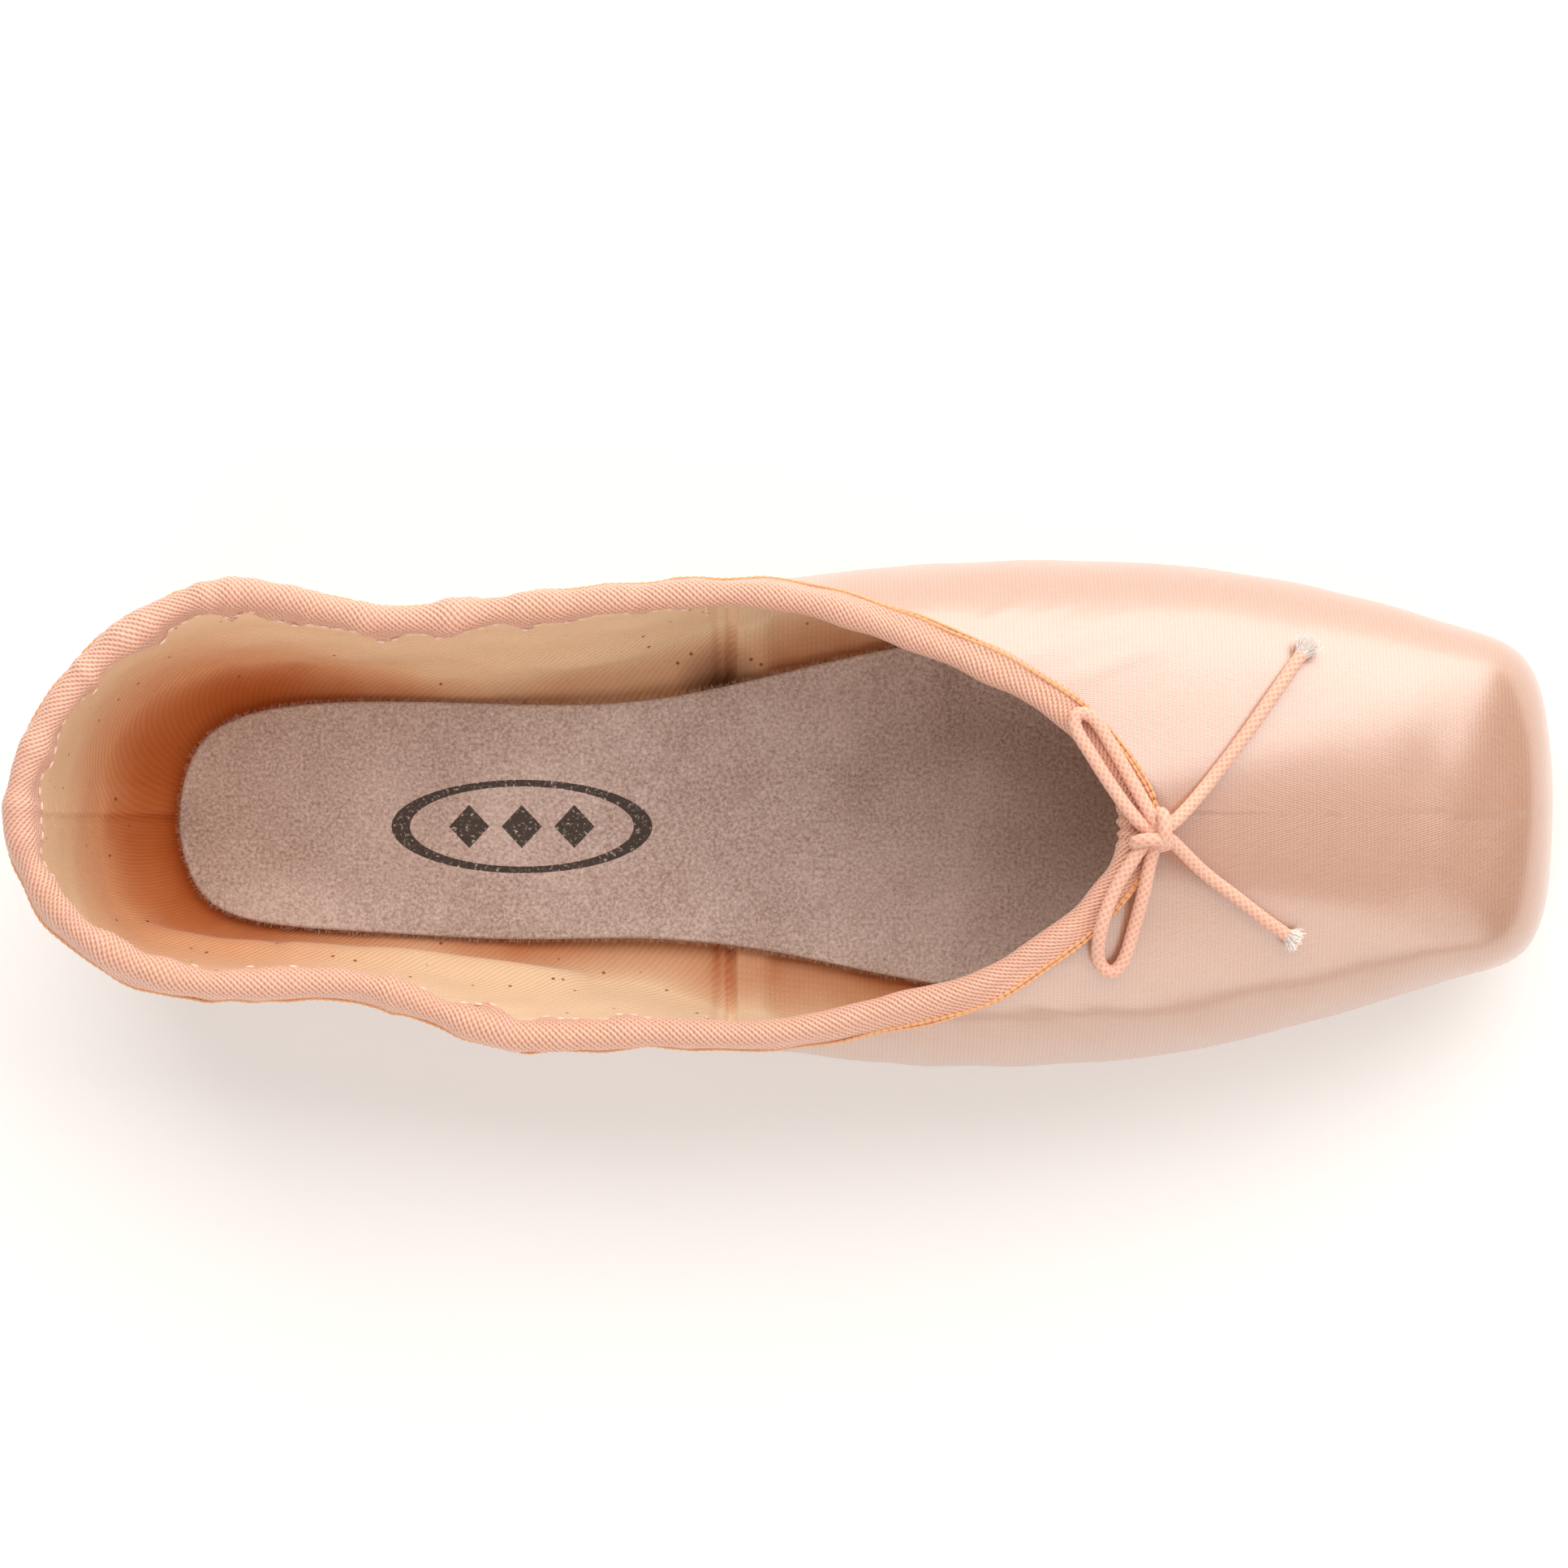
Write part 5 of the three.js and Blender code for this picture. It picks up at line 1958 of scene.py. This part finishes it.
def smooth_route(points: np.ndarray, step: float) -> np.ndarray:
    """Runs a smooth curve through points, walks it in even steps and relaxes its tight turns.

    Args:
        points: The points it goes through.
        step: Millimetres between the new points.

    Returns:
        The new points.
    """
    padded = np.concatenate([2 * points[:1] - points[1:2], points, 2 * points[-1:] - points[-2:-1]])
    fine = []
    for k in range(1, len(padded) - 2):
        a, b, c, d = padded[k - 1 : k + 3]
        t = np.linspace(0, 1, 30, endpoint=False)[:, None]
        fine.append(
            0.5 * (2 * b + (c - a) * t + (2 * a - 5 * b + 4 * c - d) * t**2 + (3 * b - a - 3 * c + d) * t**3)
        )
    dense = np.concatenate([*fine, points[-1:]])
    walked = np.concatenate([[0], np.cumsum(np.linalg.norm(np.diff(dense, axis=0), axis=1))])
    places = np.linspace(0, walked[-1], max(int(walked[-1] / step), 4))
    route = np.stack([np.interp(places, walked, dense[:, axis]) for axis in range(3)], axis=1)
    for _ in range(30):
        route[1:-1] = (route[:-2] + 2 * route[1:-1] + route[2:]) / 4
    return route


@dataclass
class Drawstring:
    """The braided cotton cord, tied in a bow on the throat, with frayed ends."""

    last: Last
    diameter: float = 2.0
    strands: int = 10
    braid_pitch: float = 6.0
    sides: int = 30

    def place(self, rows: Sequence[RouteRow]) -> np.ndarray:
        """Returns a route's points in millimetres."""
        return np.array([(self.last.x(row.along), self.last.y(row.side), row.z) for row in rows])

    def frames(self, path: np.ndarray) -> tuple[np.ndarray, np.ndarray, np.ndarray]:
        """Returns the direction along a path and two directions across it that don't twist.

        Args:
            path: Points along the cord.

        Returns:
            The three directions at each point.
        """
        forward = unit(np.gradient(path, axis=0))
        side = np.zeros_like(forward)
        side[0] = unit(np.cross(forward[0], (0.1, 0.2, 1.0)))
        for k in range(1, len(path)):
            moved = side[k - 1] - forward[k] * (side[k - 1] @ forward[k])
            side[k] = moved / np.linalg.norm(moved)
        return forward, side, np.cross(forward, side)

    def braid(self, path: np.ndarray, radius: float) -> tuple[np.ndarray, np.ndarray, np.ndarray]:
        """Wraps a braided surface round a path.

        Args:
            path: Even steps along the cord.
            radius: The cord's radius.

        Returns:
            The points, the distance along the path, and how deep each point lies.
        """
        _, side, other = self.frames(path)
        walked = np.concatenate([[0], np.cumsum(np.linalg.norm(np.diff(path, axis=0), axis=1))])
        angle = np.linspace(0, 2 * np.pi, self.sides, endpoint=False)[None, :]
        turn = walked[:, None] * 2 * np.pi / self.braid_pitch
        half = self.strands / 2
        one = np.cos(half * (angle + turn))
        two = np.cos(half * (angle - turn))
        top = np.sqrt(np.clip(np.maximum(one, two), 0, 1))
        ring = side[:, None] * np.cos(angle)[..., None] + other[:, None] * np.sin(angle)[..., None]
        return path[:, None] + ring * radius * (0.88 + 0.12 * top)[..., None], walked, 1 - top

    def tube(self, name: str, path: np.ndarray, cotton: bpy.types.Material) -> bpy.types.Object:
        """Makes one braided length with closed ends.

        Args:
            name: The piece's name.
            path: Points along the middle.
            cotton: Its finish.

        Returns:
            The piece.
        """
        points, walked, depth = self.braid(path, self.diameter / 2)
        across = np.linspace(0, np.pi * self.diameter, self.sides + 1)
        uv = closed_uv(walked[:, None] + 0 * across, across + 0 * walked[:, None])
        # The depth between strands becomes painted shade in the cotton's finish.
        piece = grid_object(name, points, uv, [cotton], wrap_rows=False, hollow_shade=depth)
        tidy_mesh(piece)
        return piece

    def half_bow(self, loop: Sequence[RouteRow], end: Sequence[RouteRow], shift: float) -> np.ndarray:
        """Runs a loop out of the knot, back through it and on into an end on the other side.

        Args:
            loop: The loop's points.
            end: The end's points.
            shift: 1 for the left loop, -1 for the right one.

        Returns:
            The route's points.
        """
        knot = self.place([KNOT])[0]
        start = knot + np.array([0.3, -shift * 0.9, -0.3])
        through = knot + np.array([0.9, shift * 0.2, -0.1])
        return np.concatenate([start[None], self.place(loop), through[None], self.place(end)])

    def build_cords(self, cotton: bpy.types.Material) -> dict[str, tuple[bpy.types.Object, np.ndarray]]:
        """Makes both halves of the bow.

        Args:
            cotton: The cord's finish.

        Returns:
            Each half's piece and path, by side.
        """
        halves = {}
        for side, loop, end, shift in (("left", LOOP_LEFT, END_RIGHT, 1.0), ("right", LOOP_RIGHT, END_LEFT, -1.0)):
            path = smooth_route(self.half_bow(loop, end, shift), 0.18)
            halves[side] = (self.tube(f"drawstring_{side}", path, cotton), path)
        return halves

    def build_knot(self, cotton: bpy.types.Material) -> bpy.types.Object:
        """Makes the knot: two wraps of cord round the middle of the bow, one over the other.

        Args:
            cotton: Its finish.

        Returns:
            The piece.
        """
        centre = self.place([KNOT])[0]
        turn = np.linspace(0, 2 * np.pi, 60)
        flat = 0 * turn
        first = centre + np.stack([2.3 * np.cos(turn) - 0.4, -1.5 + 0.5 * np.sin(turn), 1.5 * np.sin(turn)], axis=1)
        second = centre + np.stack(
            [1.0 + 0.5 * np.sin(turn), 2.1 * np.cos(turn) + 0.6, 1.6 * np.sin(turn) + 0.2 + flat], axis=1
        )
        return merge_pieces("bow_knot", [self.tube("wrap", path, cotton) for path in (first, second)])

    def fray(
        self, name: str, path: np.ndarray, recipe: FibreRecipe, fibre: bpy.types.Material, length: float, seed: int
    ) -> bpy.types.Object:
        """Frays a cord's end.

        Args:
            name: The new piece's name.
            path: The cord's path, which ends where it frays.
            recipe: Grows fibres on a surface.
            fibre: Their finish.
            length: Length of the loose fibres, in millimetres.
            seed: Picks the fibres' places.

        Returns:
            The tuft.
        """
        forward, side, other = self.frames(path)
        angle = np.linspace(0, 2 * np.pi, 12, endpoint=False)[:, None]
        rim = path[-1] + 0.85 * (side[-1] * np.cos(angle) + other[-1] * np.sin(angle)) - forward[-1] * 0.3
        mesh = bpy.data.meshes.new("guide")
        mesh.from_pydata((rim * MM).tolist(), [], [list(range(12))])
        return recipe.run(
            name, mesh, fibre, Density=1.6e8, Length=length * MM, Thickness=0.00014, Spread=0.34, Seed=seed
        )


# ---------------------------------------------------------------- the studio


@dataclass
class Studio:
    """A pale floor, two soft lights along the shoe's sides, and a camera straight above."""

    height: float = 1.0
    view_width: float = 0.23358
    subject_height: float = 0.025
    centre: tuple[float, float] = (-0.00124, 0.0043)

    def camera(self) -> bpy.types.Object:
        """Hangs the camera over the shoe and makes it the scene's.

        Returns:
            The camera.
        """
        data = bpy.data.cameras.new("camera")
        data.sensor_width = 36.0
        data.lens = data.sensor_width * (self.height - self.subject_height) / self.view_width
        data.clip_start = 0.01
        camera = bpy.data.objects.new("camera", data)
        camera.location = (*self.centre, self.height)
        bpy.context.scene.collection.objects.link(camera)
        bpy.context.scene.camera = camera
        return camera

    def area_light(
        self, name: str, place: Place, aim: Place, size: tuple[float, float], power: float, colour: str
    ) -> None:
        """Adds one soft light.

        Args:
            name: The light's name.
            place: Where it hangs, in metres.
            aim: What it points at.
            size: Width and height.
            power: Watts.
            colour: Its colour as sRGB hex.
        """
        data = bpy.data.lights.new(name, "AREA")
        data.shape = "RECTANGLE"
        data.size, data.size_y = size
        data.energy = power
        data.color = linear(colour)[:3]
        light = bpy.data.objects.new(name, data)
        light.location = place
        light.rotation_euler = (Vector(aim) - Vector(place)).to_track_quat("-Z", "Y").to_euler()
        bpy.context.scene.collection.objects.link(light)

    def lights(self) -> None:
        """Hangs a wide softbox along each side, with a dark slot between them, a weak one and a soft room.

        The weak one stands beyond the toe, so that the platform's edge shows.
        """
        self.area_light("left side softbox", (0.16, 0.72, 0.57), (0.05, 0.0, 0.02), (1.8, 1.36), 19.0, "#fff8f3")
        self.area_light("toe end softbox", (0.85, 0.05, 0.5), (0.1, 0.0, 0.02), (0.9, 0.8), 0.4, "#fff8f3")
        self.area_light("right side softbox", (0.08, -0.74, 0.6), (0.02, 0.0, 0.02), (1.7, 0.95), 7.3, "#fff8f2")
        world = bpy.data.worlds.new("soft room")
        world.use_nodes = True
        background = world.node_tree.nodes["Background"]
        background.inputs["Color"].default_value = (1.0, 1.0, 1.0, 1.0)
        background.inputs["Strength"].default_value = 0.3
        bpy.context.scene.world = world
        bpy.context.scene.view_settings.view_transform = "Standard"

    def floor(self) -> bpy.types.Object:
        """Lays the floor.

        Returns:
            The floor.
        """
        mesh = bpy.data.meshes.new("floor")
        mesh.from_pydata([(-3, -3, 0), (3, -3, 0), (3, 3, 0), (-3, 3, 0)], [], [(0, 1, 2, 3)])
        mesh.materials.append(PaperFloor("matt background paper").make())
        floor = bpy.data.objects.new("floor", mesh)
        bpy.context.scene.collection.objects.link(floor)
        return floor


# ---------------------------------------------------------------- putting it together


def enter(piece: bpy.types.Object, slot: str, *nodes: str) -> bpy.types.Object:
    """Puts a piece into the frame and reports it.

    Args:
        piece: The piece.
        slot: The record's material slot. It is not used.
        *nodes: The solids that it stands for.

    Returns:
        The piece.
    """
    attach(piece, "root")
    if nodes:
        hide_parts(*nodes)
    LOG.info("%s: %d faces", piece.name, len(piece.data.polygons))
    return piece


def main() -> None:
    """Builds the shoe piece by piece and puts each into the frame."""
    logging.basicConfig(level=logging.INFO, format="%(message)s")
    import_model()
    studio = Studio()
    studio.camera()
    last = Last()
    stitch = StitchRecipe()
    fibre = FibreRecipe()
    cotton = CottonThread("braided cotton").make()
    frayed = CottonThread("frayed cotton", hollow_shade="#fbe3d6", strand="#fff6f0").make()
    thread = CottonThread("sewing thread", hollow_shade="#c97a45", strand="#eeb382").make()
    pale_thread = CottonThread("pale sewing thread", hollow_shade="#e0b08e", strand="#fbe2cb").make()

    bow = Drawstring(last)
    cords = bow.build_cords(cotton)
    knot = enter(bow.build_knot(cotton), "cord", "drawstring_knot")
    tufts = {
        "left": bow.fray("fray_right", cords["left"][1], fibre, frayed, 2.6, 8),
        "right": bow.fray("fray_left", cords["right"][1], fibre, frayed, 3.6, 3),
    }
    for side, (piece, path) in cords.items():
        other = "right" if side == "left" else "left"
        enter(piece, "cord", f"drawstring_loop_{side}", f"drawstring_end_{other}")
        enter(tufts[side], "cord")

    upper = Upper(last)
    enter(upper.build_satin(Satin("peach shoe satin").make()), "satin", "upper")
    twill = LiningCloth("unbleached cotton twill").make()
    # The canvas's deep colour is its painted orange glow low on the wall.
    canvas = LiningCloth("unbleached plain canvas", weave=Weave.PLAIN, light="#f6d9b6", deep="#eab07c").make()
    enter(upper.build_lining(twill, canvas), "satin")
    for row in upper.seam_stitches(stitch, pale_thread):
        enter(row, "satin")

    binding = Binding(last)
    enter(binding.build(TwillTape("cotton twill tape").make()), "twill_tape", "binding")
    for row in binding.stitches(stitch, thread, pale_thread):
        enter(row, "twill_tape")

    soles = Soles(last)
    enter(soles.build_outsole(SoleLeather("buffed sole leather").make()), "sole_leather", "outsole")
    suede = Suede("brushed suede").make()
    enter(soles.build_insole(suede), "suede", "insole")
    enter(soles.build_core(suede), "suede")
    nap = CottonThread("suede fibre", hollow_shade="#8d7267", strand="#c4aaa0").make()
    enter(soles.nap(fibre, nap), "suede")

    studio.floor()
    studio.lights()


if __name__ == "__main__":
    main()
